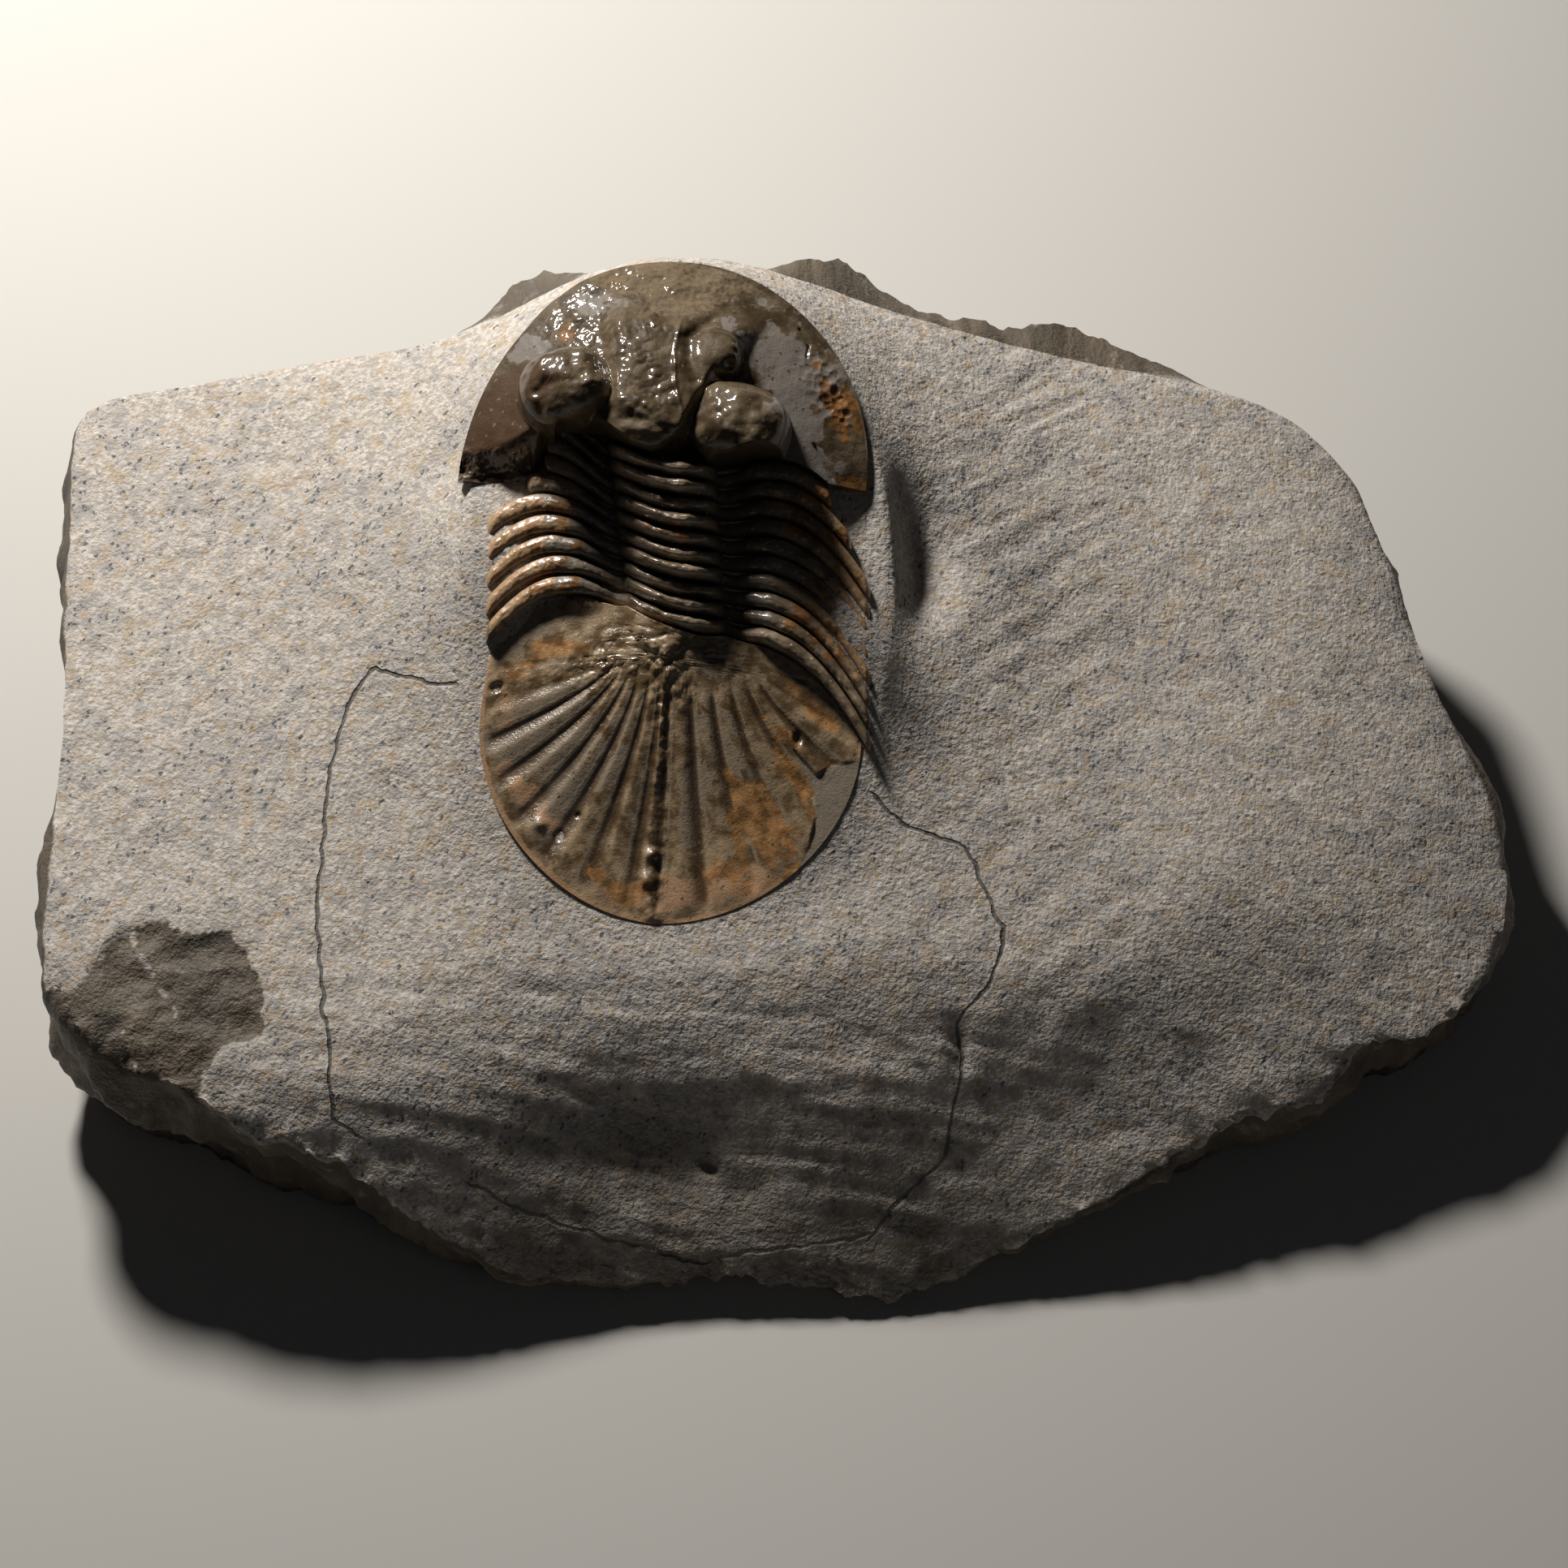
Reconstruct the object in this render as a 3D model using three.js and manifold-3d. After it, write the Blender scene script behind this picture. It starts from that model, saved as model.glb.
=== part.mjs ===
// A fan-tailed trilobite fossil on its limestone matrix, in millimetres, +Z up, resting on z = 0.
//
// A preparator has freed the fossil from a hand-sized block. The armour is made of the plates that
// the animal had: a head shield, ten thorax segments and a tail shield. They lie on the bed, a
// plane that slopes down towards the front of the block. Plates are drawn in the bed's own
// coordinates: x to the right, y towards the head, z up off the bed.

import * as THREE from "three";
import { mergeVertices } from "three/addons/utils/BufferGeometryUtils.js";
import Module from "manifold-3d";

const { smoothstep, lerp, degToRad } = THREE.MathUtils;

// Driving dimensions
const BODY_LENGTH = 55;
const BODY_WIDTH = 33;
const BED_TILT = degToRad(20);
const BED_ORIGIN = new THREE.Vector3(-9.5, 7.5, 25.2);
const PLATE_GAP = 0.3;
const SEGMENT_COUNT = 10;
const RIB_COUNT = 15;

// Head shield. "ahead" is the distance forward of its base line, which is turned on the body.
const HEAD = {
  base: 14.8,
  turn: 0.12,
  halfWidth: { left: 0.535 * BODY_WIDTH, right: 0.495 * BODY_WIDTH },
  length: 0.318 * BODY_LENGTH,
  roundness: 2,
  cheekCorner: { left: -2.2, right: -0.2 },
  cheekSlope: 3.4,
  notchMargin: 1.4,
  edge: 1.0,
  vault: 6.2,
  vaultShift: -0.09,
};
const GLABELLA = { backHalfWidth: 3.0, frontHalfWidth: 7.5, length: 14, height: 1.4, shift: -2.2 };
const EYES = [
  { x: -8.9, ahead: 4.4, z: 5.6, radii: [3.0, 2.7, 3.4], turn: degToRad(13) },
  { x: 5.2, ahead: 3.9, z: 5.9, radii: [3.9, 2.6, 3.4], turn: degToRad(-15) },
];
const OCCIPITAL_LOBE = { x: -2.7, ahead: 2.9, z: 6.4, radii: [3.6, 2.0, 2.6], turn: degToRad(-7) };
const BROW_KNOB = { x: 2.8, ahead: 8.7, z: 5.2, radii: [1.8, 1.8, 2.1], turn: 0 };

// Thorax
const THORAX = {
  middle: 8.6,
  pitch: 0.0255 * BODY_LENGTH,
  spread: { left: 0.06, right: 0.045 },
  slant: { front: 0.15, back: 0.3 },
  ringBow: 0.8,
  arch: 0.8,
  archWidth: 4,
  flankWidth: 11.5,
  axisHalfWidth: { front: 4.6, back: 4.1 },
  axisCentre: { front: -0.6, back: 0.6 },
  ringHeight: { front: 7.4, back: 3.6 },
  furrowHeight: 1.5,
  shoulderHeight: 2.6,
  tipHeight: 0.7,
  grooveDepth: 0.9,
  reach: { left: -15.2, leftUnderHead: -8.6, right: 16.7, rightUnderHead: 13.6 },
  sweepStart: 5,
  sweep: { left: 0.1, right: 0.1 },
};

// Tail shield, a fan of ribs about its apex
const TAIL = {
  apex: new THREE.Vector2(-0.5, -2.0),
  centre: new THREE.Vector2(-0.3, -8.2),
  turn: degToRad(-6),
  halfWidth: 0.485 * BODY_WIDTH,
  backReach: 0.284 * BODY_LENGTH,
  frontReach: 11,
  roundness: { back: 1.9, front: 2.6 },
  edge: 0.9,
  dome: 2.2,
  ribPitch: degToRad(10),
  ribMiddle: degToRad(2.5),
  ribHeight: 0.6,
  ribBend: 0.22,
  lobe: { x: 0.3, y: 0.2, height: 1.0, halfWidth: 3.8, halfLength: 2.4 },
  chip: { from: degToRad(43), corner: degToRad(61), to: degToRad(73), share: 0.72, depth: 0.6 },
};

// Block: the edge of the worked surface, seen from above, from the right end round by the back
const RIM = [
  [60.5, -4], [58, 3], [54.5, 13], [51.5, 23], [48.5, 30], [43, 34.5], [35, 36.5], [22, 38], [9, 39],
  [-3, 39.5], [-17, 39], [-27, 37], [-40, 37], [-52, 35.5], [-60, 33.5], [-61, 29], [-60.5, 15],
  [-60, -4], [-59.5, -20.5], [-56, -25], [-48, -29], [-42, -32], [-35, -34], [-29, -37.5],
  [-23, -39.5], [-15, -40.5], [-7, -39.5], [0, -40], [8.5, -41], [16, -38], [24, -35], [31, -31.5],
  [38, -27.5], [43, -26.5], [48, -22], [53, -21], [57.5, -17], [60.5, -10],
];
const BLOCK = {
  fieldHeight: 18.7,
  backRise: 0.05,
  rightFall: 0.02,
  brow: { left: -29, right: -21.5, from: -42, to: -8 },
  frontSlope: 0.76,
  frontRounding: 8,
  rightEdgeStart: 30,
  rightEdgeCurve: 0.006,
  hillReachLeft: 11,
  hillReachRight: 15,
  bed: { right: 0.6, ahead: 4.4, halfWidth: 17.8, halfLength: 28.2, roundness: 2.1 },
  hollow: { x: 10.5, y: 16.5, radius: 4.5, depth: 3.5 },
  rimMargin: 0.5,
  fullBulgeHeight: 14,
  wallBulge: 1.2,
  wallFacet: 0.8,
  baseInset: 1.5,
  middle: new THREE.Vector2(-0.686, 1.494),
};
// Knobs of unworked rock that stand out of the back face just below the rim
const BACK_KNOBS = [
  { x: -21, halfWidth: 4, out: 2.5 },
  { x: 4, halfWidth: 5, out: 4 },
  { x: 23, halfWidth: 8, out: 3 },
];

// How many points the outlines are drawn with
const SPOKES = { block: 110, tailRib: 4, tailFront: 16 };
const SHELL_COLOUR = 0x46392b;
const STONE_COLOUR = 0xbdb4a4;

const wasm = await Module();
wasm.setup();

// Geometry helpers

// A closed skin over rings of equal length, with a fan to a tip at each end.
function ringSolid(firstTip, rings, lastTip) {
  const count = rings[0].length;
  const last = 1 + rings.length * count;
  const at = (ring, k) => 1 + ring * count + (k % count);
  const triangles = [];
  for (let k = 0; k < count; k += 1) {
    triangles.push(0, at(0, k), at(0, k + 1));
    for (let ring = 0; ring + 1 < rings.length; ring += 1) {
      triangles.push(at(ring, k), at(ring + 1, k), at(ring + 1, k + 1));
      triangles.push(at(ring, k), at(ring + 1, k + 1), at(ring, k + 1));
    }
    triangles.push(last, at(rings.length - 1, k + 1), at(rings.length - 1, k));
  }
  const geometry = new THREE.BufferGeometry().setFromPoints([firstTip, ...rings.flat(), lastTip]);
  geometry.setIndex(triangles);
  return geometry;
}

// How far a star-shaped region reaches from a point in a direction, by halving.
function reachOf(centre, direction, inside) {
  let near = 0;
  let far = 2 * BODY_LENGTH;
  for (let step = 0; step < 36; step += 1) {
    const middle = 0.5 * (near + far);
    const point = centre.clone().addScaledVector(direction, middle);
    if (inside(point)) near = middle;
    else far = middle;
  }
  return near;
}

// A wave with straight flanks and sharp edges, from -1 to 1.
function crease(angle) {
  return (2 / Math.PI) * Math.asin(Math.sin(angle));
}

function superellipse(x, y, power) {
  return Math.abs(x) ** power + Math.abs(y) ** power;
}

function toSolid(geometry) {
  const vertProperties = Float32Array.from(geometry.getAttribute("position").array);
  const triVerts = Uint32Array.from(geometry.getIndex().array);
  return new wasm.Manifold(new wasm.Mesh({ numProp: 3, vertProperties, triVerts }));
}

function toGeometry(solid) {
  const mesh = solid.getMesh();
  const geometry = new THREE.BufferGeometry();
  geometry.setAttribute("position", new THREE.BufferAttribute(mesh.vertProperties, 3));
  geometry.setIndex(new THREE.BufferAttribute(mesh.triVerts, 1));
  return geometry;
}

function part(name, geometry, colour, roughness) {
  geometry.computeVertexNormals();
  const material = new THREE.MeshStandardMaterial({ color: colour, roughness, metalness: 0 });
  const mesh = new THREE.Mesh(geometry, material);
  mesh.name = name;
  return mesh;
}

// Thorax segments

const back = (index) => index / (SEGMENT_COUNT - 1);
const axisCentre = (index) => lerp(THORAX.axisCentre.front, THORAX.axisCentre.back, back(index));
const axisHalfWidth = (index) => {
  return lerp(THORAX.axisHalfWidth.front, THORAX.axisHalfWidth.back, back(index));
};

// The distance past the raised axis, and the local pitch, which opens towards the tips.
function beyondAxis(index, x) {
  return Math.max(0, Math.abs(x - axisCentre(index)) - axisHalfWidth(index));
}

function pitchAt(index, x) {
  const spread = x < axisCentre(index) ? THORAX.spread.left : THORAX.spread.right;
  return THORAX.pitch + spread * beyondAxis(index, x);
}

// The middle line of a segment: slanted, bowed back over the axis, arched forward at the shoulders
// and swept back at the tips.
function segmentLine(index, x) {
  const side = x - axisCentre(index);
  const beyond = beyondAxis(index, x);
  const slant = lerp(THORAX.slant.front, THORAX.slant.back, back(index)) * side;
  const bow = THORAX.ringBow * Math.max(0, 1 - (side / axisHalfWidth(index)) ** 2);
  const arch = THORAX.arch * smoothstep(beyond, 0, THORAX.archWidth);
  const sweep = side < 0 ? THORAX.sweep.left : THORAX.sweep.right;
  const swept = sweep * Math.max(0, beyond - THORAX.sweepStart) ** 2;
  const place = (0.5 * (SEGMENT_COUNT - 1) - index) * pitchAt(index, x);
  return THORAX.middle + place - slant - bow + arch - swept;
}

function segmentHeight(index, x) {
  const side = (x - axisCentre(index)) / axisHalfWidth(index);
  const beyond = beyondAxis(index, x);
  const rise = smoothstep(beyond, 0, THORAX.archWidth);
  const fall = smoothstep(beyond, THORAX.archWidth, THORAX.flankWidth);
  const shoulder = lerp(THORAX.furrowHeight, THORAX.shoulderHeight, rise);
  const flank = lerp(shoulder, THORAX.tipHeight, fall);
  const ring = lerp(THORAX.ringHeight.front, THORAX.ringHeight.back, back(index));
  return flank + (ring - THORAX.furrowHeight) * Math.sqrt(Math.max(0, 1 - side ** 2));
}

function segmentTips(index) {
  const freeLeft = smoothstep(index, 3, 5);
  const freeRight = smoothstep(index, 0, 2);
  return {
    left: lerp(THORAX.reach.leftUnderHead, THORAX.reach.left, freeLeft),
    right: lerp(THORAX.reach.rightUnderHead, THORAX.reach.right, freeRight),
  };
}

function thoraxSegment(index) {
  const stations = 24;
  const tipRound = 1.6;
  const { left, right } = segmentTips(index);
  const rings = [];
  for (let station = 1; station < stations; station += 1) {
    const x = left + (right - left) * (0.5 - 0.5 * Math.cos((Math.PI * station) / stations));
    const fromTip = Math.min(1, Math.min(x - left, right - x) / tipRound);
    const round = Math.sqrt(1 - (1 - fromTip) ** 2);
    const half = 0.5 * (pitchAt(index, x) - PLATE_GAP) * round;
    const height = segmentHeight(index, x) * lerp(0.4, 1, round);
    const groove = Math.min(THORAX.grooveDepth, 0.5 * height);
    const y = segmentLine(index, x);
    const crest = [[-1, 0.7], [-0.45, 0], [0.35, 0.1], [1, 1]];
    const section = crest.map(([across, down]) => {
      return new THREE.Vector3(x, y + across * half, height - down * groove);
    });
    rings.push([
      new THREE.Vector3(x, y - half, 0),
      ...section,
      new THREE.Vector3(x, y + half, 0),
    ]);
  }
  const tip = (x) => new THREE.Vector3(x, segmentLine(index, x), 0.1);
  return ringSolid(tip(left), rings, tip(right));
}

// Head shield: sections across the body from one cheek to the other

function acrossHead(x) {
  return x / (x < 0 ? HEAD.halfWidth.left : HEAD.halfWidth.right);
}

function cheekCorner(x) {
  return lerp(HEAD.cheekCorner.left, HEAD.cheekCorner.right, smoothstep(x, -9, 9));
}

// The back edge lies against the first segment and comes back past its ends at the cheeks.
function headBack(x) {
  const { left, right } = segmentTips(0);
  const cheek = cheekCorner(x);
  if (x < left - HEAD.notchMargin || x > right + HEAD.notchMargin) return cheek;
  const segment = segmentLine(0, x) + 0.5 * (pitchAt(0, x) + PLATE_GAP);
  return Math.max(cheek, segment - HEAD.base + HEAD.turn * x);
}

function headFront(x) {
  const corner = cheekCorner(x);
  const across = Math.abs(acrossHead(x));
  const round = (1 - across ** HEAD.roundness) ** (1 / HEAD.roundness);
  return corner + (HEAD.length - corner) * round;
}

// A point of the head on the bed: turned with the head, but held to the thorax at its back edge.
function headPoint(x, ahead, z) {
  const shift = HEAD.turn * Math.max(0, ahead - headBack(x));
  return new THREE.Vector3(x + shift, HEAD.base - HEAD.turn * x + ahead, z);
}

function headHeight(x, ahead) {
  const along = Math.max(0, ahead);
  const across = acrossHead(x);
  const shifted = across - HEAD.vaultShift * (1 - across ** 2);
  const radius = Math.min(1, superellipse(shifted, along / HEAD.length, HEAD.roundness));
  const leftCheek = 1 - smoothstep(x, -11, -8);
  const fromBack = smoothstep(ahead - headBack(x), 0, HEAD.cheekSlope);
  const vault = HEAD.vault * (1 - radius ** 0.9) * lerp(1, fromBack, leftCheek);
  const share = Math.min(1, along / GLABELLA.length);
  const half = lerp(GLABELLA.backHalfWidth, GLABELLA.frontHalfWidth, share ** 1.5);
  const offset = Math.abs(x - GLABELLA.shift * (1 - share)) / half;
  const glabella = (1 - smoothstep(offset, 0.75, 1.1)) * (1 - smoothstep(share, 0.7, 1));
  return HEAD.edge + vault + GLABELLA.height * glabella;
}

function headSection(x) {
  const steps = 13;
  const backEdge = headBack(x);
  const frontEdge = headFront(x);
  const section = [headPoint(x, backEdge, 0)];
  for (let step = 0; step <= steps; step += 1) {
    const ahead = lerp(backEdge, frontEdge, step / steps);
    section.push(headPoint(x, ahead, headHeight(x, ahead)));
  }
  section.push(headPoint(x, frontEdge, 0));
  return section;
}

// A rounded lobe of the head: an ellipsoid sunk into the vault.
function lobe({ x, ahead, z, radii, turn }) {
  const sphere = new THREE.SphereGeometry(1, 14, 10).rotateX(0.5 * Math.PI);
  sphere.scale(...radii).rotateZ(turn).translate(...headPoint(x, ahead, z));
  sphere.deleteAttribute("normal");
  sphere.deleteAttribute("uv");
  return mergeVertices(sphere, 1e-3);
}

function headShield() {
  const stations = 34;
  const { left, right } = HEAD.halfWidth;
  const rings = [];
  for (let station = 1; station < stations; station += 1) {
    const across = -Math.cos((Math.PI * station) / stations);
    rings.push(headSection(across * (across < 0 ? left : right)));
  }
  const corner = (x) => headPoint(x, cheekCorner(x), 0.5 * HEAD.edge);
  const base = ringSolid(corner(-left), rings, corner(right));
  const lobes = [...EYES, OCCIPITAL_LOBE, BROW_KNOB].map((shape) => toSolid(lobe(shape)));
  return toGeometry(lobes.reduce((head, raised) => head.add(raised), toSolid(base)));
}

// Tail shield

function insideTail(point) {
  const last = SEGMENT_COUNT - 1;
  const limit = segmentLine(last, point.x) - 0.5 * (pitchAt(last, point.x) + PLATE_GAP);
  if (point.y > limit) return false;
  const { x, y } = point.clone().sub(TAIL.centre).rotateAround(new THREE.Vector2(), -TAIL.turn);
  const reach = y < 0 ? TAIL.backReach : TAIL.frontReach;
  const roundness = y < 0 ? TAIL.roundness.back : TAIL.roundness.front;
  return superellipse(x / TAIL.halfWidth, y / reach, roundness) < 1;
}

// Ribs are broad, gently rounded bands parted by narrow furrows.
function ribRelief(fan, share) {
  const place = (fan - TAIL.ribMiddle) / TAIL.ribPitch;
  if (Math.abs(place) > 0.5 * RIB_COUNT) return 0;
  const across = Math.abs(2 * (place - Math.round(place)));
  const shown = smoothstep(share, 0.1, 0.35) * (1 - smoothstep(share, 0.9, 1));
  return -TAIL.ribHeight * across ** 2.5 * shown;
}

// A flake of the right margin is missing: a notch with its corner towards the apex.
function insideChip(fan, share) {
  const { from, corner, to } = TAIL.chip;
  const away = fan < corner ? (corner - fan) / (corner - from) : (fan - corner) / (to - corner);
  return share > lerp(TAIL.chip.share, 1, away);
}

function fanDirection(fan) {
  const direction = new THREE.Vector2(Math.sin(fan), -Math.cos(fan));
  return direction.rotateAround(new THREE.Vector2(), TAIL.turn);
}

// A point of the fan: ribs leave the apex close together and bend outwards.
function tailPoint({ fan, reach }, share) {
  const bend = TAIL.ribBend * (1 - share ** 1.5) * Math.max(0, Math.cos(fan));
  const point = TAIL.apex.clone().addScaledVector(fanDirection(fan * (1 - bend)), share * reach);
  const { x, y, height, halfWidth, halfLength } = TAIL.lobe;
  const across = (point.x - x) / halfWidth;
  const along = (point.y - y) / halfLength;
  const raised = height * Math.exp(-(across ** 2) - along ** 2);
  const fromApex = Math.min(1, (share * reach) / TAIL.halfWidth);
  const dome = TAIL.edge + TAIL.dome * (1 - fromApex) ** 1.2 + raised;
  const relief = insideChip(fan, share) ? -TAIL.chip.depth : ribRelief(fan, share);
  return new THREE.Vector3(point.x, point.y, dome + relief);
}

function tailShield() {
  const half = 0.5 * RIB_COUNT * TAIL.ribPitch;
  const fans = [];
  for (let k = 0; k <= RIB_COUNT * SPOKES.tailRib; k += 1) {
    fans.push(TAIL.ribMiddle - half + (k * TAIL.ribPitch) / SPOKES.tailRib);
  }
  const open = 2 * Math.PI - 2 * half;
  for (let k = 1; k < SPOKES.tailFront; k += 1) {
    fans.push(TAIL.ribMiddle + half + (k * open) / SPOKES.tailFront);
  }
  const outline = fans.map((fan) => {
    return { fan, reach: reachOf(TAIL.apex, fanDirection(fan), insideTail) };
  });
  const shares = [0.12, 0.28, 0.45, 0.62, 0.8, 0.92, 1];
  const tops = shares.map((share) => outline.map((spoke) => tailPoint(spoke, share)));
  const foot = tops.at(-1).map((point) => new THREE.Vector3(point.x, point.y, 0));
  const under = new THREE.Vector3(TAIL.apex.x, TAIL.apex.y, 0);
  return ringSolid(tailPoint(outline[0], 0), [...tops, foot], under);
}

// Matrix block

function bedHeight(y) {
  return BED_ORIGIN.z - PLATE_GAP / Math.cos(BED_TILT) + (y - BED_ORIGIN.y) * Math.tan(BED_TILT);
}

// The bed's flat patch: an oval that the body just fills.
function insideBed(point) {
  const { right, ahead, halfWidth, halfLength, roundness } = BLOCK.bed;
  const x = point.x - BED_ORIGIN.x - right;
  const y = (point.y - BED_ORIGIN.y) / Math.cos(BED_TILT) - ahead;
  return superellipse(x / halfWidth, y / halfLength, roundness) < 1;
}

// The worked surface away from the hill: nearly level, then rounded over a brow to a steep front.
function fieldHeight(point) {
  const { left, right, from, to } = BLOCK.brow;
  const past = lerp(left, right, smoothstep(point.x, from, to)) - point.y;
  const frontDrop = 0.5 * BLOCK.frontSlope * (past + Math.hypot(past, BLOCK.frontRounding));
  const pastEdge = Math.max(0, point.x - BLOCK.rightEdgeStart);
  const slope = BLOCK.backRise * point.y - BLOCK.rightFall * point.x;
  return BLOCK.fieldHeight + slope - frontDrop - BLOCK.rightEdgeCurve * pastEdge ** 2;
}

// Ground at a distance outside the bed: the hill fades into the field.
function groundHeight(point, distance, direction) {
  const field = fieldHeight(point);
  const reach = lerp(BLOCK.hillReachLeft, BLOCK.hillReachRight, 0.5 + 0.5 * direction.x);
  const { x, y, radius, depth } = BLOCK.hollow;
  const hollow = Math.exp(-((point.x - x) ** 2 + (point.y - y) ** 2) / radius ** 2);
  const hill = (bedHeight(point.y) - field) * Math.exp(-distance / reach);
  return field + hill - depth * hollow * (1 - Math.exp(-distance));
}

function matrixBlock() {
  const corners = RIM.map(([x, y]) => new THREE.Vector3(x, y, 0));
  const rim = new THREE.CatmullRomCurve3(corners, true).getSpacedPoints(SPOKES.block).slice(0, -1);
  const centre = new THREE.Vector2(BED_ORIGIN.x, BED_ORIGIN.y + BLOCK.bed.ahead);
  const spokes = rim.map((edge, k) => {
    const toEdge = new THREE.Vector2(edge.x, edge.y).sub(centre);
    const reach = toEdge.length();
    const direction = toEdge.normalize();
    const bed = Math.min(reachOf(centre, direction, insideBed), reach - BLOCK.rimMargin);
    const before = rim[(k + rim.length - 1) % rim.length];
    const after = rim[(k + 1) % rim.length];
    const outward = new THREE.Vector2(after.y - before.y, before.x - after.x).normalize();
    return { direction, bed, reach, outward, turn: (2 * Math.PI * k) / rim.length };
  });

  const groundRing = (share) => spokes.map(({ direction, bed, reach }) => {
    const distance = share * (reach - bed);
    const point = centre.clone().addScaledVector(direction, bed + distance);
    return new THREE.Vector3(point.x, point.y, groundHeight(point, distance, direction));
  });
  const bedRing = (share) => spokes.map(({ direction, bed }) => {
    const point = centre.clone().addScaledVector(direction, share * bed);
    return new THREE.Vector3(point.x, point.y, bedHeight(point.y));
  });
  const top = [bedRing(0.5), ...[0, 0.06, 0.14, 0.25, 0.4, 0.55, 0.7, 0.85, 1].map(groundRing)];
  const edge = top.at(-1);

  // The broken outer faces bulge below the rim and draw in at the base.
  const wallRing = (drop) => edge.map((point, k) => {
    const { outward, turn } = spokes[k];
    const facets =
      crease(7 * turn + 1) + crease(13 * turn + 5 * drop) + crease(19 * turn - 8 * drop);
    const bulge = (BLOCK.wallBulge + BLOCK.wallFacet * facets) * Math.sin(Math.PI * drop ** 0.7);
    const knobs = BACK_KNOBS.reduce((sum, { x, halfWidth, out }) => {
      return sum + out * Math.exp(-(((point.x - x) / halfWidth) ** 2));
    }, 0);
    const knob = knobs * Math.max(0, outward.y) * Math.sin(Math.PI * drop ** 0.45);
    const out = bulge * Math.min(1, point.z / BLOCK.fullBulgeHeight) + knob - BLOCK.baseInset * drop;
    const place = new THREE.Vector2(point.x, point.y).addScaledVector(outward, out);
    return new THREE.Vector3(place.x, place.y, point.z * (1 - drop));
  });
  const walls = [0.12, 0.3, 0.5, 0.75, 1].map(wallRing);
  const peak = new THREE.Vector3(centre.x, centre.y, bedHeight(centre.y));
  return ringSolid(peak, [...top, ...walls], new THREE.Vector3(centre.x, centre.y, 0));
}

// Assembly

const trilobite = new THREE.Group();
trilobite.position.copy(BED_ORIGIN);
trilobite.rotation.x = BED_TILT;
trilobite.add(part("head_shield", headShield(), SHELL_COLOUR, 0.4));
for (let index = 0; index < SEGMENT_COUNT; index += 1) {
  const name = `thorax_segment_${String(index + 1).padStart(2, "0")}`;
  trilobite.add(part(name, thoraxSegment(index), SHELL_COLOUR, 0.4));
}
trilobite.add(part("tail_shield", tailShield(), SHELL_COLOUR, 0.4));

const fossil = new THREE.Group();
fossil.add(part("matrix", matrixBlock(), STONE_COLOUR, 0.9));
fossil.add(trilobite);
fossil.position.set(-BLOCK.middle.x, -BLOCK.middle.y, 0);

export default fossil;
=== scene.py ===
"""A fan-tailed trilobite fossil on its limestone block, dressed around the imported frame.

Plates are drawn in the bed's own millimetres: x to the right, y towards the head, z up off the bed.
The block is drawn in upright millimetres. Every mesh ends up in metres, in the frame.
"""

import itertools
import logging
import math
from collections.abc import Callable
from dataclasses import dataclass, field, replace
from enum import Enum

import bpy
import numpy as np
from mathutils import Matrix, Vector


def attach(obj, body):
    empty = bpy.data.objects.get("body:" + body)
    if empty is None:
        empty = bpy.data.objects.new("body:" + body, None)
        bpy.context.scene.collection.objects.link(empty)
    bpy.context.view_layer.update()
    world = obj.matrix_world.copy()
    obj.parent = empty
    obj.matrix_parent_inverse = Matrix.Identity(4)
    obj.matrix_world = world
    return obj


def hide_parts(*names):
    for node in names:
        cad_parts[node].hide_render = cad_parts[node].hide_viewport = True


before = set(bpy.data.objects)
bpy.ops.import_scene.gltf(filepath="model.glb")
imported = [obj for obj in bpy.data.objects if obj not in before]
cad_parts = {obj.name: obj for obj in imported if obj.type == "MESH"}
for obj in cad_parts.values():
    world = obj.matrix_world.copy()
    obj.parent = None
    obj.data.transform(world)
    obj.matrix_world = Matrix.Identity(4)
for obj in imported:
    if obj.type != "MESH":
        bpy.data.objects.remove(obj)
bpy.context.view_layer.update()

LOG = logging.getLogger("trilobite")
METRES_PER_MM = 0.001
BODY_LENGTH = 55.0
BODY_WIDTH = 33.0
SHARP_ANGLE = math.radians(62)
HALVINGS = 40

Array = np.ndarray
Colour = tuple[float, float, float]
Point = tuple[float, float]
Socket = bpy.types.NodeSocket


def smoothstep(value: Array, low: float, high: float) -> Array:
    """An eased share from 0 below low to 1 above high."""
    share = np.clip((value - low) / (high - low), 0, 1)
    return share * share * (3 - 2 * share)


def lerp(first: Array, second: Array, share: Array) -> Array:
    """A value on the way from first to second."""
    return first + (second - first) * share


def crease(angle: Array) -> Array:
    """A wave with straight flanks and sharp edges, from -1 to 1."""
    return (2 / np.pi) * np.arcsin(np.sin(angle))


def turned(x: Array, y: Array, angle: float) -> tuple[Array, Array]:
    """The coordinates of points in axes turned by an angle."""
    cosine, sine = math.cos(angle), math.sin(angle)
    return x * cosine + y * sine, y * cosine - x * sine


def soft_max(first: Array, second: Array, blend: float) -> Array:
    """The greater of two heights, with the crossing rounded over a blend height."""
    share = np.clip(0.5 + 0.5 * (first - second) / blend, 0, 1)
    return lerp(second, first, share) + blend * share * (1 - share)


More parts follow.
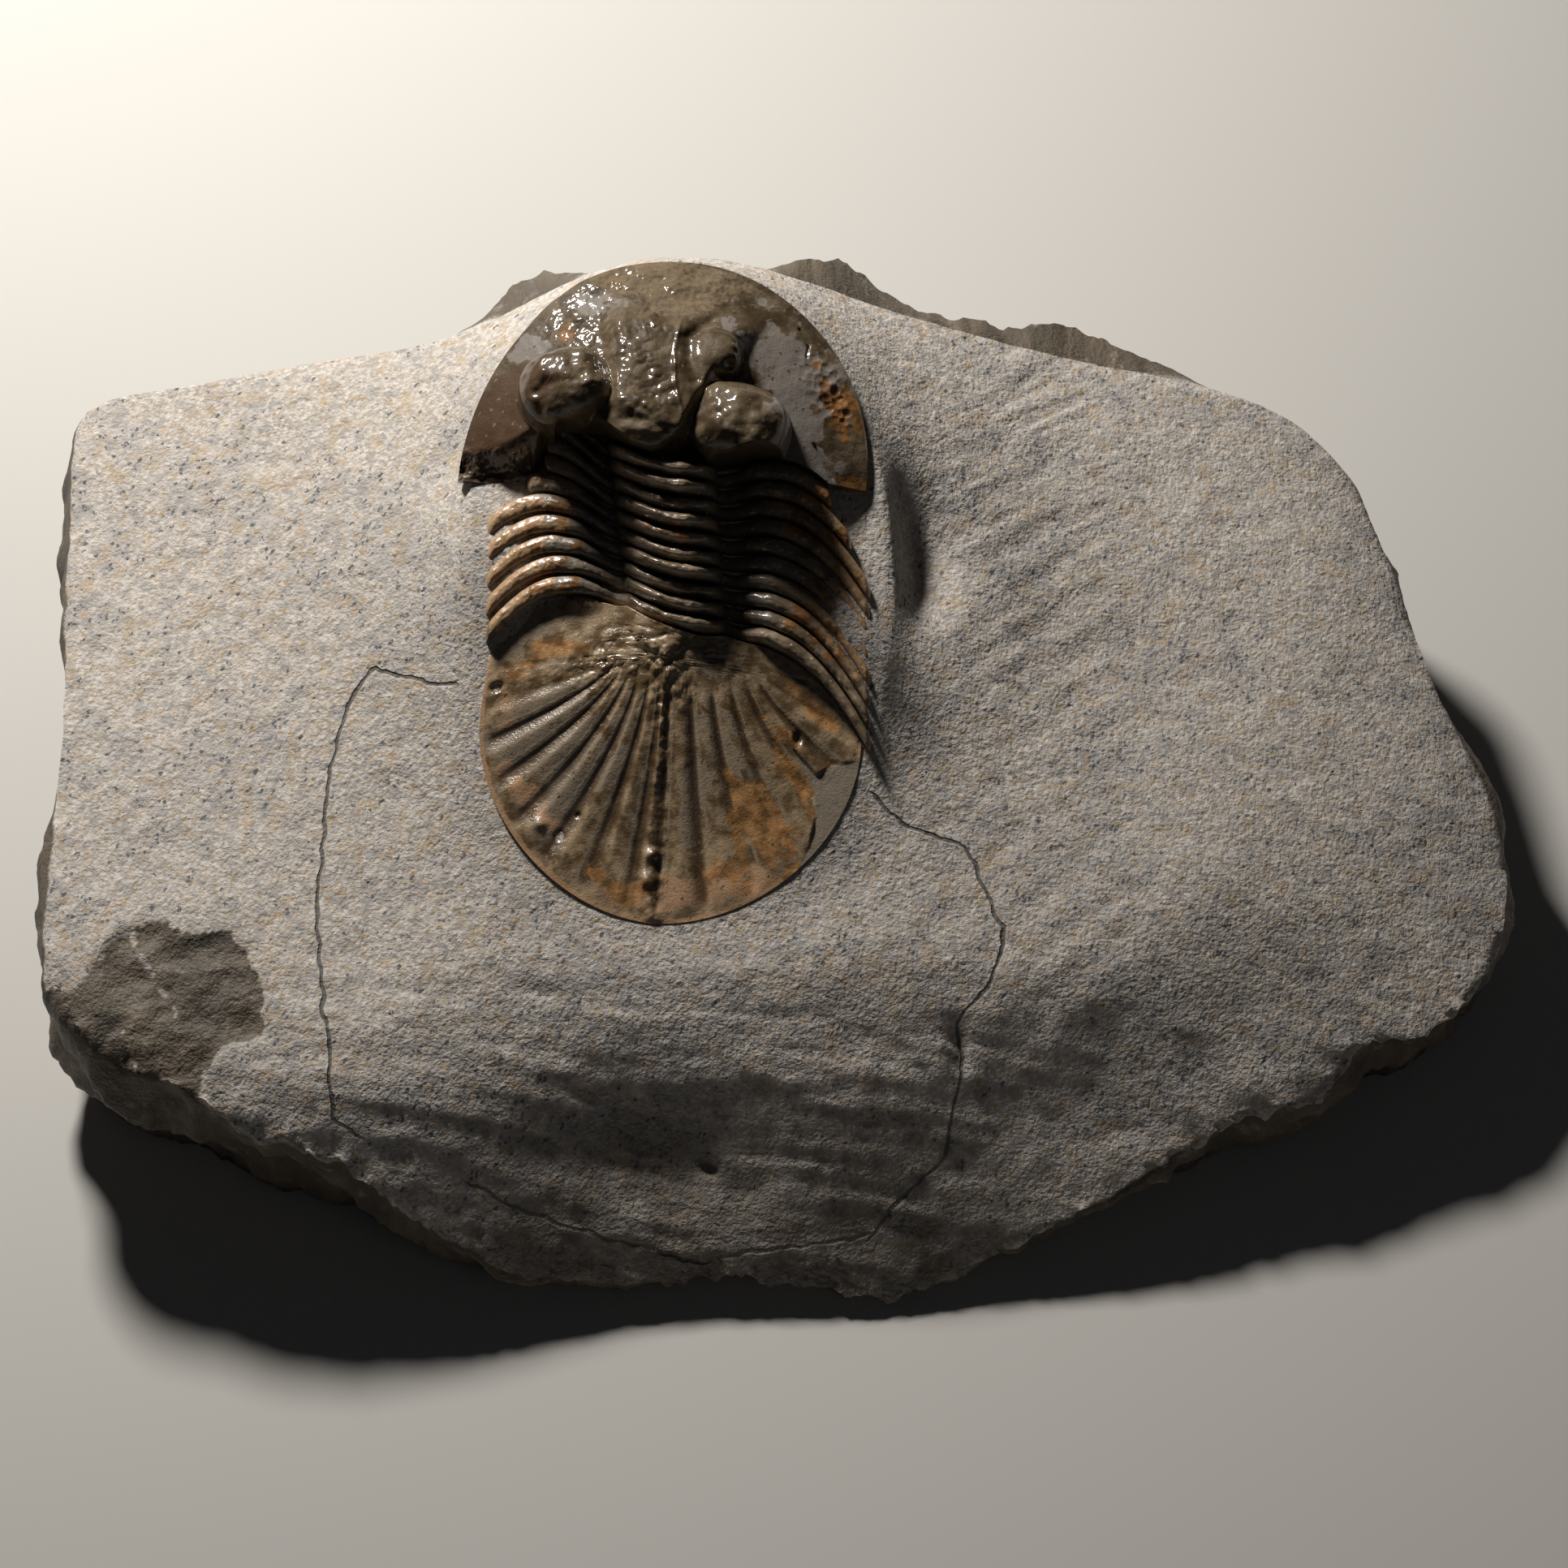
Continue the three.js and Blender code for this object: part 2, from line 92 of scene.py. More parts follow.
@dataclass(frozen=True)
class Grain:
    """Seeded noise over points in millimetres."""

    seed: int

    def lattice(self, cells: Array, salt: int = 0) -> Array:
        """A random share from 0 to 1 for each whole-numbered cell.

        Args:
            cells: One row of whole numbers per cell.
            salt: Picks one of several unrelated shares.

        Returns:
            One share per row.
        """
        mixed = np.full(len(cells), (self.seed * 7919 + salt * 104729) % 2**32, np.uint32)
        for axis in range(cells.shape[1]):
            mixed ^= cells[:, axis].astype(np.int64).astype(np.uint32)
            mixed *= np.uint32(0x85EBCA6B)
            mixed ^= mixed >> np.uint32(13)
            mixed *= np.uint32(0xC2B2AE35)
            mixed ^= mixed >> np.uint32(16)
        return mixed / 2.0**32

    def waves(self, points: Array, size: float) -> Array:
        """Smooth noise from -1 to 1.

        Args:
            points: One row per point, of two or three coordinates.
            size: The width of a lump.

        Returns:
            One value per point.
        """
        scaled = points / size
        cells = np.floor(scaled)
        inside = scaled - cells
        eased = inside**3 * (inside * (inside * 6 - 15) + 10)
        total = np.zeros(len(points))
        for corner in itertools.product((0, 1), repeat=points.shape[1]):
            weight = np.prod(np.where(corner, eased, 1 - eased), axis=1)
            total += weight * self.lattice(cells + np.array(corner))
        return 2 * total - 1

    def layers(self, points: Array, size: float, octaves: int = 4, fade: float = 0.5) -> Array:
        """Noise in layers, each half the size of the one before.

        Args:
            points: Points in rows or in a grid, with their coordinates last.
            size: The width of the largest lumps.
            octaves: How many layers.
            fade: Each layer's strength as a share of the one before.

        Returns:
            One value per point, from -1 to 1, laid out as the points are.
        """
        flat = points.reshape(-1, points.shape[-1])
        total = np.zeros(len(flat))
        weight = 1.0
        for octave in range(octaves):
            layer = replace(self, seed=self.seed + 31 * octave)
            total += weight * layer.waves(flat, size / 2**octave)
            weight *= fade
        return (total * (1 - fade) / (1 - fade**octaves)).reshape(points.shape[:-1])

    def cobbles(self, points: Array, size: float) -> tuple[Array, Array]:
        """Scattered cells, for granules and pits.

        Args:
            points: One row per point.
            size: The mean spacing of the cells.

        Returns:
            The distance to the nearest cell's middle in spacings, and that cell's random share.
        """
        scaled = points / size
        cells = np.floor(scaled)
        nearest = np.full(len(points), 9.0)
        share = np.zeros(len(points))
        axes = range(points.shape[1])
        for corner in itertools.product((-1, 0, 1), repeat=points.shape[1]):
            there = cells + np.array(corner)
            middles = there + np.stack([self.lattice(there, 1 + axis) for axis in axes], axis=1)
            distance = np.linalg.norm(scaled - middles, axis=1)
            closer = distance < nearest
            nearest = np.where(closer, distance, nearest)
            share = np.where(closer, self.lattice(there, 9), share)
        return nearest, share

    def granules(self, points: Array, size: float) -> Array:
        """Rounded bumps of uneven height, from 0 to 1, laid out as the points are."""
        distance, share = self.cobbles(points.reshape(-1, points.shape[-1]), size)
        bumps = np.clip(1 - (distance / 0.75) ** 2, 0, 1) * (0.35 + 0.65 * share)
        return bumps.reshape(points.shape[:-1])


@dataclass(frozen=True)
class Stain:
    """A soft-edged oval on a plate or on the ground, in millimetres."""

    x: float
    y: float
    long: float
    wide: float
    turn: float = 0.0
    strength: float = 1.0

    def cover(self, x: Array, y: Array) -> Array:
        """How strongly the oval covers each point."""
        along, across = turned(x - self.x, y - self.y, math.radians(self.turn))
        return self.strength * np.exp(-((along / self.long) ** 2) - (across / self.wide) ** 2)


@dataclass(frozen=True)
class Trail:
    """A drawn route over a surface: a crack, a seam or a furrow."""

    points: tuple[Point, ...]

    def offset(self, x: Array, y: Array) -> tuple[Array, Array]:
        """How far points lie from the route.

        Args:
            x: The points' x.
            y: The points' y.

        Returns:
            The distance with its side as the sign, and how far a point lies past the route's ends.
        """
        best = np.full(np.shape(x), 1e6)
        side = np.ones(np.shape(x))
        past = np.zeros(np.shape(x))
        last = len(self.points) - 2
        for k, ((x0, y0), (x1, y1)) in enumerate(itertools.pairwise(self.points)):
            length = math.hypot(x1 - x0, y1 - y0)
            along, across = turned(x - x0, y - y0, math.atan2(y1 - y0, x1 - x0))
            over = np.maximum(0, np.maximum(-along, along - length))
            distance = np.hypot(over, across)
            closer = distance < best
            best = np.where(closer, distance, best)
            side = np.where(closer, np.where(across < 0, -1, 1), side)
            open_end = ((along < 0) & (k == 0)) | ((along > length) & (k == last))
            past = np.where(closer, np.where(open_end, over, 0), past)
        return best * side, past

    def depth(self, x: Array, y: Array) -> Array:
        """How far points lie inside a closed route; negative outside."""
        within = np.zeros(np.shape(x), bool)
        for (x0, y0), (x1, y1) in itertools.pairwise(self.points):
            if y0 != y1:
                crossed = (y0 > y) != (y1 > y)
                within ^= crossed & (x < x0 + (y - y0) * (x1 - x0) / (y1 - y0))
        distance = np.abs(self.offset(x, y)[0])
        return np.where(within, distance, -distance)

    def ridge(self, x: Array, y: Array, half_width: float) -> Array:
        """A rounded profile along the route, 1 at its middle."""
        distance, _ = self.offset(x, y)
        return np.exp(-((distance / half_width) ** 2))


def farthest(held: Callable[[Array], Array], spokes: Array) -> Array:
    """How far out along each spoke a shape reaches, found by halving.

    Args:
        held: Tells, for one distance per spoke, whether it lies in the shape.
        spokes: An array with one place per spoke.

    Returns:
        One distance per spoke.
    """
    near = np.zeros_like(spokes)
    far = np.full_like(spokes, 2 * BODY_LENGTH)
    for _ in range(HALVINGS):
        middle = 0.5 * (near + far)
        within = held(middle)
        near = np.where(within, middle, near)
        far = np.where(within, far, middle)
    return near


def stained(stains: tuple[Stain, ...], x: Array, y: Array) -> Array:
    """The joint cover of several stains, from 0 to 1."""
    total = np.zeros(np.shape(x))
    for stain in stains:
        total = total + stain.cover(x, y)
    return np.clip(total, 0, 1)


def broken(cover: Array, drift: Array) -> Array:
    """A stain's cover with its edge broken up by noise."""
    return smoothstep(cover + 0.95 * drift, 0.32, 0.7) * smoothstep(cover, 0.02, 0.2)


@dataclass
class Skin:
    """Rings of points in frame millimetres, closed by a tip at each end, with masks for the finish."""

    rings: Array
    first_tip: Array
    last_tip: Array
    masks: dict[str, Array] = field(default_factory=dict)

    def faces(self) -> list[tuple[int, ...]]:
        """The faces of the skin, pointing out."""
        rings, count = self.rings.shape[:2]
        ring, k = np.meshgrid(np.arange(rings - 1), np.arange(count), indexing="ij")
        after = (k + 1) % count
        start = 1 + ring * count
        quads = np.stack([start + k, start + count + k, start + count + after, start + after], -1)
        around = np.arange(count)
        onward = (around + 1) % count
        foot = 1 + (rings - 1) * count
        cap = np.stack([np.zeros(count, int), 1 + around, 1 + onward], -1)
        end = np.stack([np.full(count, foot + count), foot + onward, foot + around], -1)
        return cap.tolist() + quads.reshape(-1, 4).tolist() + end.tolist()

    def build(self, name: str) -> bpy.types.Object:
        """Makes the mesh object.

        Args:
            name: The piece's name.

        Returns:
            The object, in metres, linked to the scene.
        """
        points = np.concatenate([[self.first_tip], self.rings.reshape(-1, 3), [self.last_tip]])
        mesh = bpy.data.meshes.new(name)
        mesh.from_pydata((points * METRES_PER_MM).tolist(), [], self.faces())
        mesh.shade_smooth()
        mesh.set_sharp_from_angle(angle=SHARP_ANGLE)
        for mask, values in self.masks.items():
            flat = values.reshape(self.rings.shape[0] * self.rings.shape[1], -1)
            whole = np.concatenate([flat[:1], flat, flat[-1:]]).astype(np.float32)
            vector = whole.shape[1] == 3
            layer = mesh.attributes.new(mask, "FLOAT_VECTOR" if vector else "FLOAT", "POINT")
            layer.data.foreach_set("vector" if vector else "value", whole.ravel())
        piece = bpy.data.objects.new(name, mesh)
        bpy.context.scene.collection.objects.link(piece)
        return piece


@dataclass(frozen=True)
class Bed:
    """The sloping plane that the plates lie on."""

    origin: tuple[float, float, float] = (-9.5, 7.5, 25.2)
    tilt: float = math.radians(20)
    block_middle: Point = (-0.686, 1.494)

    def upright(self, points: Array) -> Array:
        """Frame millimetres of points given in the block's millimetres."""
        return points - np.array([*self.block_middle, 0])

    def place(self, points: Array) -> Array:
        """Frame millimetres of points given in the bed's millimetres."""
        x, y, z = np.moveaxis(points, -1, 0)
        cosine, sine = math.cos(self.tilt), math.sin(self.tilt)
        lifted = np.stack([x, y * cosine - z * sine, y * sine + z * cosine], -1)
        return self.upright(lifted + np.array(self.origin))

    def height(self, y: Array, above: float) -> Array:
        """The upright height of a plane parallel to the bed, at the block's y."""
        return self.origin[2] + above / math.cos(self.tilt) + (y - self.origin[1]) * math.tan(self.tilt)


@dataclass(frozen=True)
class Thorax:
    """Ten petrified segments: bowed rings over the axis, with flanks swept back to finger tips."""

    count: int = 10
    middle: float = 8.6
    pitch: float = 0.0255 * BODY_LENGTH
    spread: Point = (0.06, 0.045)
    slant: Point = (0.28, 0.3)
    ring_bow: Point = (1.4, 0.9)
    crest_lean: float = 0.35
    arch: float = 0.8
    arch_width: float = 4.0
    flank_width: float = 11.5
    axis_half_width: Point = (4.6, 4.1)
    axis_centre: Point = (-0.6, 0.6)
    ring_height: Point = (7.4, 3.6)
    ring_power: float = 0.5
    ring_sway: Point = (0.3, 2.4)
    furrow_height: float = 1.1
    shoulder_height: float = 2.6
    tip_height: float = 1.9
    left_tips: Point = (-8.6, -15.2)
    right_tips: Point = (13.6, 16.7)
    tucked: float = 1.9
    sweep_start: float = 5.0
    sweep: float = 0.1
    plate_gap: float = 0.3
    seam: float = 0.16
    seam_spread: Point = (0.034, 0.03)
    groove: float = 0.8
    flank_from: Point = (1.5, 5.0)
    flank_groove: float = 0.38
    flank_shade: float = 0.2
    tip_round: Point = (0.6, 0.6)
    knobs: tuple[Point, ...] = ((-0.2, 0.3), (0.62, 0.22))
    knob_groove: float = 0.7
    stations: int = 250
    crest_points: int = 24
    rust: tuple[Stain, ...] = (
        Stain(-9.5, 6.5, 2.0, 5.5, strength=0.6),
        Stain(12.5, 10.5, 3.5, 3.0, strength=0.7),
        Stain(0.4, 8.4, 2.4, 0.8, -12, strength=0.7),
        Stain(12.0, 1.0, 4.0, 2.0, -50, strength=0.7),
    )
    tan: tuple[Stain, ...] = (
        Stain(-13.4, 7.5, 3.8, 6.5),
        Stain(14.5, 8.5, 2.4, 3.5, strength=0.8),
        Stain(15.5, 3.0, 2.2, 4.0, strength=0.8),
        Stain(14.5, -1.0, 4.5, 1.4, -52, strength=0.8),
    )
    slate: tuple[Stain, ...] = (
        Stain(-6.5, 6.5, 3.0, 4.5),
        Stain(5.5, 6.0, 4.0, 7.0, strength=0.8),
    )
    calcite: tuple[Stain, ...] = (
        Stain(-3.9, 3.4, 0.7, 2.6, 8),
        Stain(-11.2, 12.4, 1.6, 0.9, -20, strength=0.8),
    )

    def back(self, index: int) -> float:
        """A segment's place from the head, 0, to the tail, 1."""
        return index / (self.count - 1)

    def centre(self, index: int) -> float:
        """Where the axis of a segment lies."""
        return lerp(*self.axis_centre, self.back(index))

    def half_width(self, index: int) -> float:
        """Half the width of a segment's axis."""
        return lerp(*self.axis_half_width, self.back(index))

    def beyond(self, index: int, x: Array) -> Array:
        """The distance past the raised axis."""
        return np.maximum(0, np.abs(x - self.centre(index)) - self.half_width(index))

    def by_side(self, index: int, x: Array, pair: Point) -> Array:
        """The left or the right value of a pair."""
        return np.where(x < self.centre(index), *pair)

    def pitch_at(self, index: int, x: Array) -> Array:
        """The local pitch, which opens towards the tips."""
        return self.pitch + self.by_side(index, x, self.spread) * self.beyond(index, x)

    def line(self, index: int, x: Array) -> Array:
        """The middle line of a segment."""
        side = x - self.centre(index)
        beyond = self.beyond(index, x)
        slant = lerp(*self.slant, self.back(index)) * side
        bow = lerp(*self.ring_bow, self.back(index)) * np.maximum(0, 1 - (side / self.half_width(index)) ** 2)
        arch = self.arch * smoothstep(beyond, 0, self.arch_width)
        swept = self.sweep * np.maximum(0, beyond - self.sweep_start) ** 2
        place = (0.5 * (self.count - 1) - index) * self.pitch_at(index, x)
        return self.middle + place - slant - bow + arch - swept

    def front_edge(self, x: Array) -> Array:
        """The line just ahead of the first segment."""
        return self.line(0, x) + 0.5 * (self.pitch_at(0, x) + self.plate_gap)

    def back_edge(self, x: Array) -> Array:
        """The line just behind the last segment."""
        last = self.count - 1
        return self.line(last, x) - 0.5 * (self.pitch_at(last, x) + self.plate_gap)

    def height(self, index: int, x: Array) -> Array:
        """The crest of a segment above the bed."""
        side = (x - self.centre(index)) / self.half_width(index)
        beyond = self.beyond(index, x)
        rise = smoothstep(beyond, 0, self.arch_width)
        fall = smoothstep(beyond, self.arch_width, self.flank_width)
        flank = lerp(lerp(self.furrow_height, self.shoulder_height, rise), self.tip_height, fall)
        sway = self.ring_sway[0] * math.sin(self.ring_sway[1] * index)
        ring = lerp(*self.ring_height, self.back(index)) + sway - self.furrow_height
        lean = self.crest_lean
        off_crest = (side - lean) / np.where(side < lean, 1 + lean, 1 - lean)
        return flank + ring * np.maximum(0, 1 - off_crest**2) ** self.ring_power

    def tips(self, index: int) -> Point:
        """Where a segment ends; the first ones are shorter, under the cheeks."""
        left = lerp(*self.left_tips, smoothstep(index, 3, 5))
        right = lerp(*self.right_tips, smoothstep(index, 0, 2))
        return float(left), float(right)

    def segment(self, index: int, bed: Bed) -> Skin:
        """Lofts one segment from finger tip to finger tip.

        Args:
            index: The segment's place, from 0 behind the head.
            bed: The plane that it lies on.

        Returns:
            The segment's skin.
        """
        left, right = self.tips(index)
        left -= self.tucked * (1 - smoothstep(index, 3, 4))
        share = np.arange(1, self.stations) / self.stations
        eased = 0.4 * (0.5 - 0.5 * np.cos(np.pi * share)) + 0.6 * share
        x = (left + (right - left) * eased)[:, None]
        from_tip = np.minimum(1, np.minimum((x - left) / self.tip_round[0], (right - x) / self.tip_round[1]))
        rounding = np.sqrt(1 - (1 - from_tip) ** 2)
        seam = self.seam + self.by_side(index, x, self.seam_spread) * self.beyond(index, x)
        half = 0.5 * (self.pitch_at(index, x) - seam) * rounding
        crest = self.height(index, x) * lerp(0.4, 1, rounding)
        across = np.linspace(-1, 1, self.crest_points)[None, :]
        behind = 0.75 * np.clip((-across - 0.2) / 0.8, 0, 1) ** 2
        ahead = np.clip((across - 0.05) / 0.95, 0, 1) ** 1.8
        side = (x - self.centre(index)) / self.half_width(index)
        knob = sum(np.exp(-(((side - place) / half_knob) ** 2)) for place, half_knob in self.knobs)
        flank = smoothstep(self.beyond(index, x), *self.flank_from)
        groove = self.groove * (1 + self.knob_groove * knob) * lerp(1, self.flank_groove, flank)
        groove = np.minimum(groove, 0.55 * crest)
        top = crest - groove * (behind + ahead)
        y = self.line(index, x) + across * half
        spots = np.stack([np.broadcast_to(x, y.shape), y], -1)
        lumps = Grain(40 + index).layers(spots, 1.1, 3)
        fine = Grain(60 + index).granules(spots, 0.34)
        top = top + (lerp(0.24, 0.12, flank) * lumps + 0.05 * fine) * rounding
        foot = np.zeros_like(x)
        heights = np.concatenate([foot, top, foot], axis=1)
        lines = np.concatenate([y[:, :1], y, y[:, -1:]], axis=1)
        places = np.broadcast_to(x, lines.shape)
        line_ends = [float(self.line(index, np.array(end))) for end in (left, right)]
        first_tip = bed.place(np.array([left, line_ends[0], 0.1]))
        last_tip = bed.place(np.array([right, line_ends[1], 0.1]))
        points = bed.place(np.stack([places, lines, heights], -1))
        # Painted shade: the groove zones in front of and behind each crest are marked for a dark umber tint,
        # weaker on the flanks.
        sunk = np.clip(behind + ahead, 0, 1) * lerp(1, self.flank_shade, flank)
        return Skin(points, first_tip, last_tip, self.masks(places, lines, lumps, sunk))

    def masks(self, x: Array, y: Array, lumps: Array, sunk: Array) -> dict[str, Array]:
        """The colour masks of a segment, with painted shade in its grooves."""
        drift = np.pad(lumps, ((0, 0), (1, 1)), mode="edge")
        return {
            "rust": broken(stained(self.rust, x, y), drift),
            "slate": broken(stained(self.slate, x, y), -drift),
            "dust": stained(self.calcite, x, y),
            "ruddy": broken(1.2 * stained(self.tan, x, y), 0.7 * drift),
            "recess_shade": np.pad(0.8 * sunk, ((0, 0), (1, 1)), mode="edge"),
        }

    def build(self, bed: Bed, finish: "ShellFinish") -> None:
        """Makes and dresses the ten segments."""
        for index in range(self.count):
            name = f"thorax_segment_{index + 1:02d}"
            settle(self.segment(index, bed).build(f"{name}_shell"), name, finish.material)


@dataclass(frozen=True)
class Lobe:
    """A rounded swelling of the head: an ellipsoid sunk into the vault."""

    x: float
    ahead: float
    z: float
    radii: tuple[float, float, float]
    turn: float = 0.0
    lump: float = 0.0
    lean: float = 0.3


@dataclass(frozen=True)
class HeadShield:
    """The head plate, with its cheeks, glabella, eyes and the breaks that the ground left in it."""

    base: float = 14.8
    turn: float = 0.12
    left_half: float = 0.535 * BODY_WIDTH
    right_half: float = 0.495 * BODY_WIDTH
    length: float = 0.318 * BODY_LENGTH
    roundness: float = 2.0
    cheek_corners: Point = (-2.2, -0.2)
    corner_between: Point = (-9.0, 9.0)
    left_cheek: Point = (-11.0, -8.0)
    right_cheek: Point = (7.0, 10.0)
    cheek_slope: float = 3.4
    rear_fall: float = 0.55
    rear_slope: float = 2.4
    notch_margin: float = 1.1
    notch_slope: float = 2.8
    overhang: float = 1.4
    overhang_between: Point = (-7.0, -4.5)
    overhang_foot: float = 2.9
    heel: float = 1.1
    heel_between: Point = (11.5, 14.0)
    right_sink: float = 1.5
    crust: float = 0.6
    wall_shade: float = 0.7
    facing: Point = (-0.5, 0.87)
    edge: float = 1.0
    vault: float = 6.2
    vault_shift: float = -0.09
    glabella_halves: Point = (3.0, 7.5)
    glabella_length: float = 14.0
    glabella_height: float = 1.4
    glabella_shift: float = -2.2
    lobes: tuple[Lobe, ...] = (
        Lobe(-8.8, 4.3, 5.2, (3.9, 3.4, 3.6), 13, 0.8),
        Lobe(5.2, 3.0, 5.3, (4.3, 3.5, 3.4), -15, 0.7),
        Lobe(-3.0, 2.0, 6.0, (3.7, 2.6, 2.7), -7, 0.6),
        Lobe(2.8, 8.7, 4.9, (2.1, 2.1, 1.9), 0, 0.2),
    )
    stations: int = 400
    steps: int = 180
    wall_steps: int = 6
    granular: tuple[Stain, ...] = (
        Stain(-4.0, 25.0, 6.0, 4.5, 20),
        Stain(-1.0, 20.5, 2.5, 3.0),
        Stain(-8.5, 27.0, 3.5, 2.0, 45, 0.45),
        Stain(-3.0, 16.6, 3.6, 2.4, 0, 0.5),
        Stain(-9.0, 19.6, 3.6, 3.0, 13, 0.12),
        Stain(5.6, 17.4, 4.0, 3.2, -15, 0.15),
    )
    seam: Trail = Trail(((1.2, 17.5), (0.6, 20.0), (0.5, 23.0), (1.0, 26.0)))
    furrow: Trail = Trail(((2.3, 20.6), (1.7, 22.5), (1.6, 24.4), (3.4, 26.2)))
    knob: Point = (4.8, 22.3)
    cracks: tuple[Trail, ...] = (
        Trail(((10.8, 26.5), (11.6, 25.2), (11.4, 24.0))),
        Trail(((12.0, 16.2), (12.9, 14.6), (13.8, 12.9))),
    )
    amber: tuple[Stain, ...] = (Stain(13.3, 20.9, 3.4, 1.3, -62),)
    dusty: tuple[Stain, ...] = (
        Stain(-1.5, 29.8, 8.0, 2.6, -6),
        Stain(1.0, 31.0, 7.0, 2.0, -6, 0.6),
    )
    ruddy: tuple[Stain, ...] = (Stain(-13.0, 18.5, 6.5, 3.0, 58),)
    rust: tuple[Stain, ...] = (
        Stain(-9.6, 24.6, 2.2, 0.8, 45, 0.7),
        Stain(14.8, 13.2, 2.6, 0.9, -35, 0.9),
        Stain(15.4, 19.5, 4.0, 0.7, -68, 0.7),
        Stain(-4.0, 14.2, 2.5, 0.8, 0, 0.6),
    )
    slate: tuple[Stain, ...] = (
        Stain(9.5, 24.5, 4.5, 3.0, -40, 0.9),
        Stain(11.0, 17.5, 3.0, 4.0, 0, 0.9),
        Stain(-11.8, 25.0, 1.8, 1.4, 45, 0.8),
        Stain(-6.5, 28.0, 2.5, 1.5, 0, 0.6),
    )

    def across(self, x: Array) -> Array:
        """The share of the way from the middle to a cheek."""
        return x / np.where(x < 0, self.left_half, self.right_half)

    def corner(self, x: Array) -> Array:
        """How far back the cheeks reach."""
        reach = lerp(*self.cheek_corners, smoothstep(x, *self.corner_between))
        return reach - self.heel * smoothstep(-x, *self.heel_between)

    def back_edge(self, x: Array, thorax: Thorax) -> Array:
        """The edge against the first segment, which comes back past its ends at the cheeks."""
        left, right = thorax.tips(0)
        cheek = self.corner(x)
        held = np.maximum(cheek, thorax.front_edge(x) - self.base + self.turn * x)
        over = 1 - smoothstep(x, *self.overhang_between)
        held = lerp(held, np.minimum(held, self.overhang), over)
        from_left = smoothstep(x, left - self.notch_slope, left)
        from_right = 1 - smoothstep(x, right + self.notch_margin, right + self.notch_margin + 0.3)
        return lerp(cheek, held, from_left * from_right)

    def front_edge(self, x: Array) -> Array:
        """The rounded front margin."""
        across = np.minimum(1, np.abs(self.across(x)))
        rounding = (1 - across**self.roundness) ** (1 / self.roundness)
        return self.corner(x) + (self.length - self.corner(x)) * rounding

    def smooth_height(self, x: Array, ahead: Array, back: Array) -> Array:
        """The vault of the head with the glabella on it."""
        along = np.maximum(0, ahead)
        across = self.across(x)
        shifted = np.abs(across - self.vault_shift * (1 - across**2))
        radius = np.minimum(1, shifted**self.roundness + (along / self.length) ** self.roundness)
        inward = smoothstep(x, *self.left_cheek)
        rear_fall = lerp(1, self.rear_fall, inward) * (1 - smoothstep(x, *self.right_cheek))
        from_back = smoothstep(ahead - back, 0, lerp(self.cheek_slope, self.rear_slope, inward))
        crown = self.vault - self.right_sink * smoothstep(across, 0.1, 0.5)
        vault = crown * (1 - radius**0.9) * lerp(1, from_back, rear_fall)
        share = np.minimum(1, along / self.glabella_length)
        half = lerp(*self.glabella_halves, share**1.5)
        offset = np.abs(x - self.glabella_shift * (1 - share)) / half
        glabella = (1 - smoothstep(offset, 0.75, 1.1)) * (1 - smoothstep(share, 0.7, 1))
        return self.edge + vault + self.glabella_height * glabella

    def lobed_height(self, x: Array, y: Array, ground: Array, thorax: Thorax) -> Array:
        """Raises the eyes, the occipital lobe and the brow knob, lumpy as they are, out of the vault."""
        height = ground
        spots = np.stack([x, y], -1)
        lumps = 0.3 + 0.95 * Grain(7).layers(spots, 2.4, 3, 0.45) + 0.14 * Grain(8).granules(spots, 1.1)
        for lobe in self.lobes:
            back = float(self.back_edge(np.array(lobe.x), thorax))
            middle_x = lobe.x + self.turn * max(0, lobe.ahead - back)
            middle_y = self.base - self.turn * lobe.x + lobe.ahead
            along, across = turned(x - middle_x, y - middle_y, math.radians(lobe.turn))
            inside = 1 - np.abs(along / lobe.radii[0]) ** 2.5 - np.abs(across / lobe.radii[1]) ** 2.5
            toward = (self.facing[0] * (x - middle_x) + self.facing[1] * (y - middle_y)) / lobe.radii[0]
            dome = lobe.z + lobe.radii[2] * np.maximum(0, inside) ** 0.45 * (1 - lobe.lean * toward)
            skirt = lobe.z + 14 * np.minimum(0, inside)
            raised = np.where(inside > 0, dome, skirt) + lobe.lump * (lumps - 0.3)
            height = soft_max(raised, height, 0.5)
        return height

    def relief(self, x: Array, y: Array) -> Array:
        """The fine relief of the shell: granules, the seam, the furrow, the ringed knob and breaks."""
        spots = np.stack([x, y], -1)
        granular = stained(self.granular, x, y)
        coarse = Grain(3).granules(spots, 0.95)
        fine = Grain(4).granules(spots, 0.42)
        rough = Grain(5).layers(spots, 2.4, 4)
        dusty = stained(self.dusty, x, y)
        uneven = Grain(9).layers(spots, 1.5, 3, 0.5)
        height = granular * (0.16 * coarse + 0.05 * fine + 0.24 * uneven)
        height = height + rough * (0.1 + 0.3 * dusty) + 0.08 * dusty * fine
        height = height + 0.14 * self.seam.ridge(x, y, 0.14) - 0.55 * self.furrow.ridge(x, y, 0.6)
        radius = np.hypot(x - self.knob[0], y - self.knob[1])
        ripples = 0.12 * np.cos(8.5 * radius) * smoothstep(x - self.knob[0], -0.2, 0.9)
        height = height + ripples * np.exp(-((radius / 1.9) ** 2))
        right = (x - self.knob[0] - 0.3) / 0.5
        ahead = (y - self.knob[1] + 0.3) / 0.4
        height = height - 0.7 * np.exp(-(right**2 + ahead**2))
        for crack in self.cracks:
            height = height - 0.22 * crack.ridge(x, y, 0.12)
        pits = Grain(6).granules(spots, 0.7)
        return height - stained(self.amber, x, y) * (0.15 + 0.35 * pits)

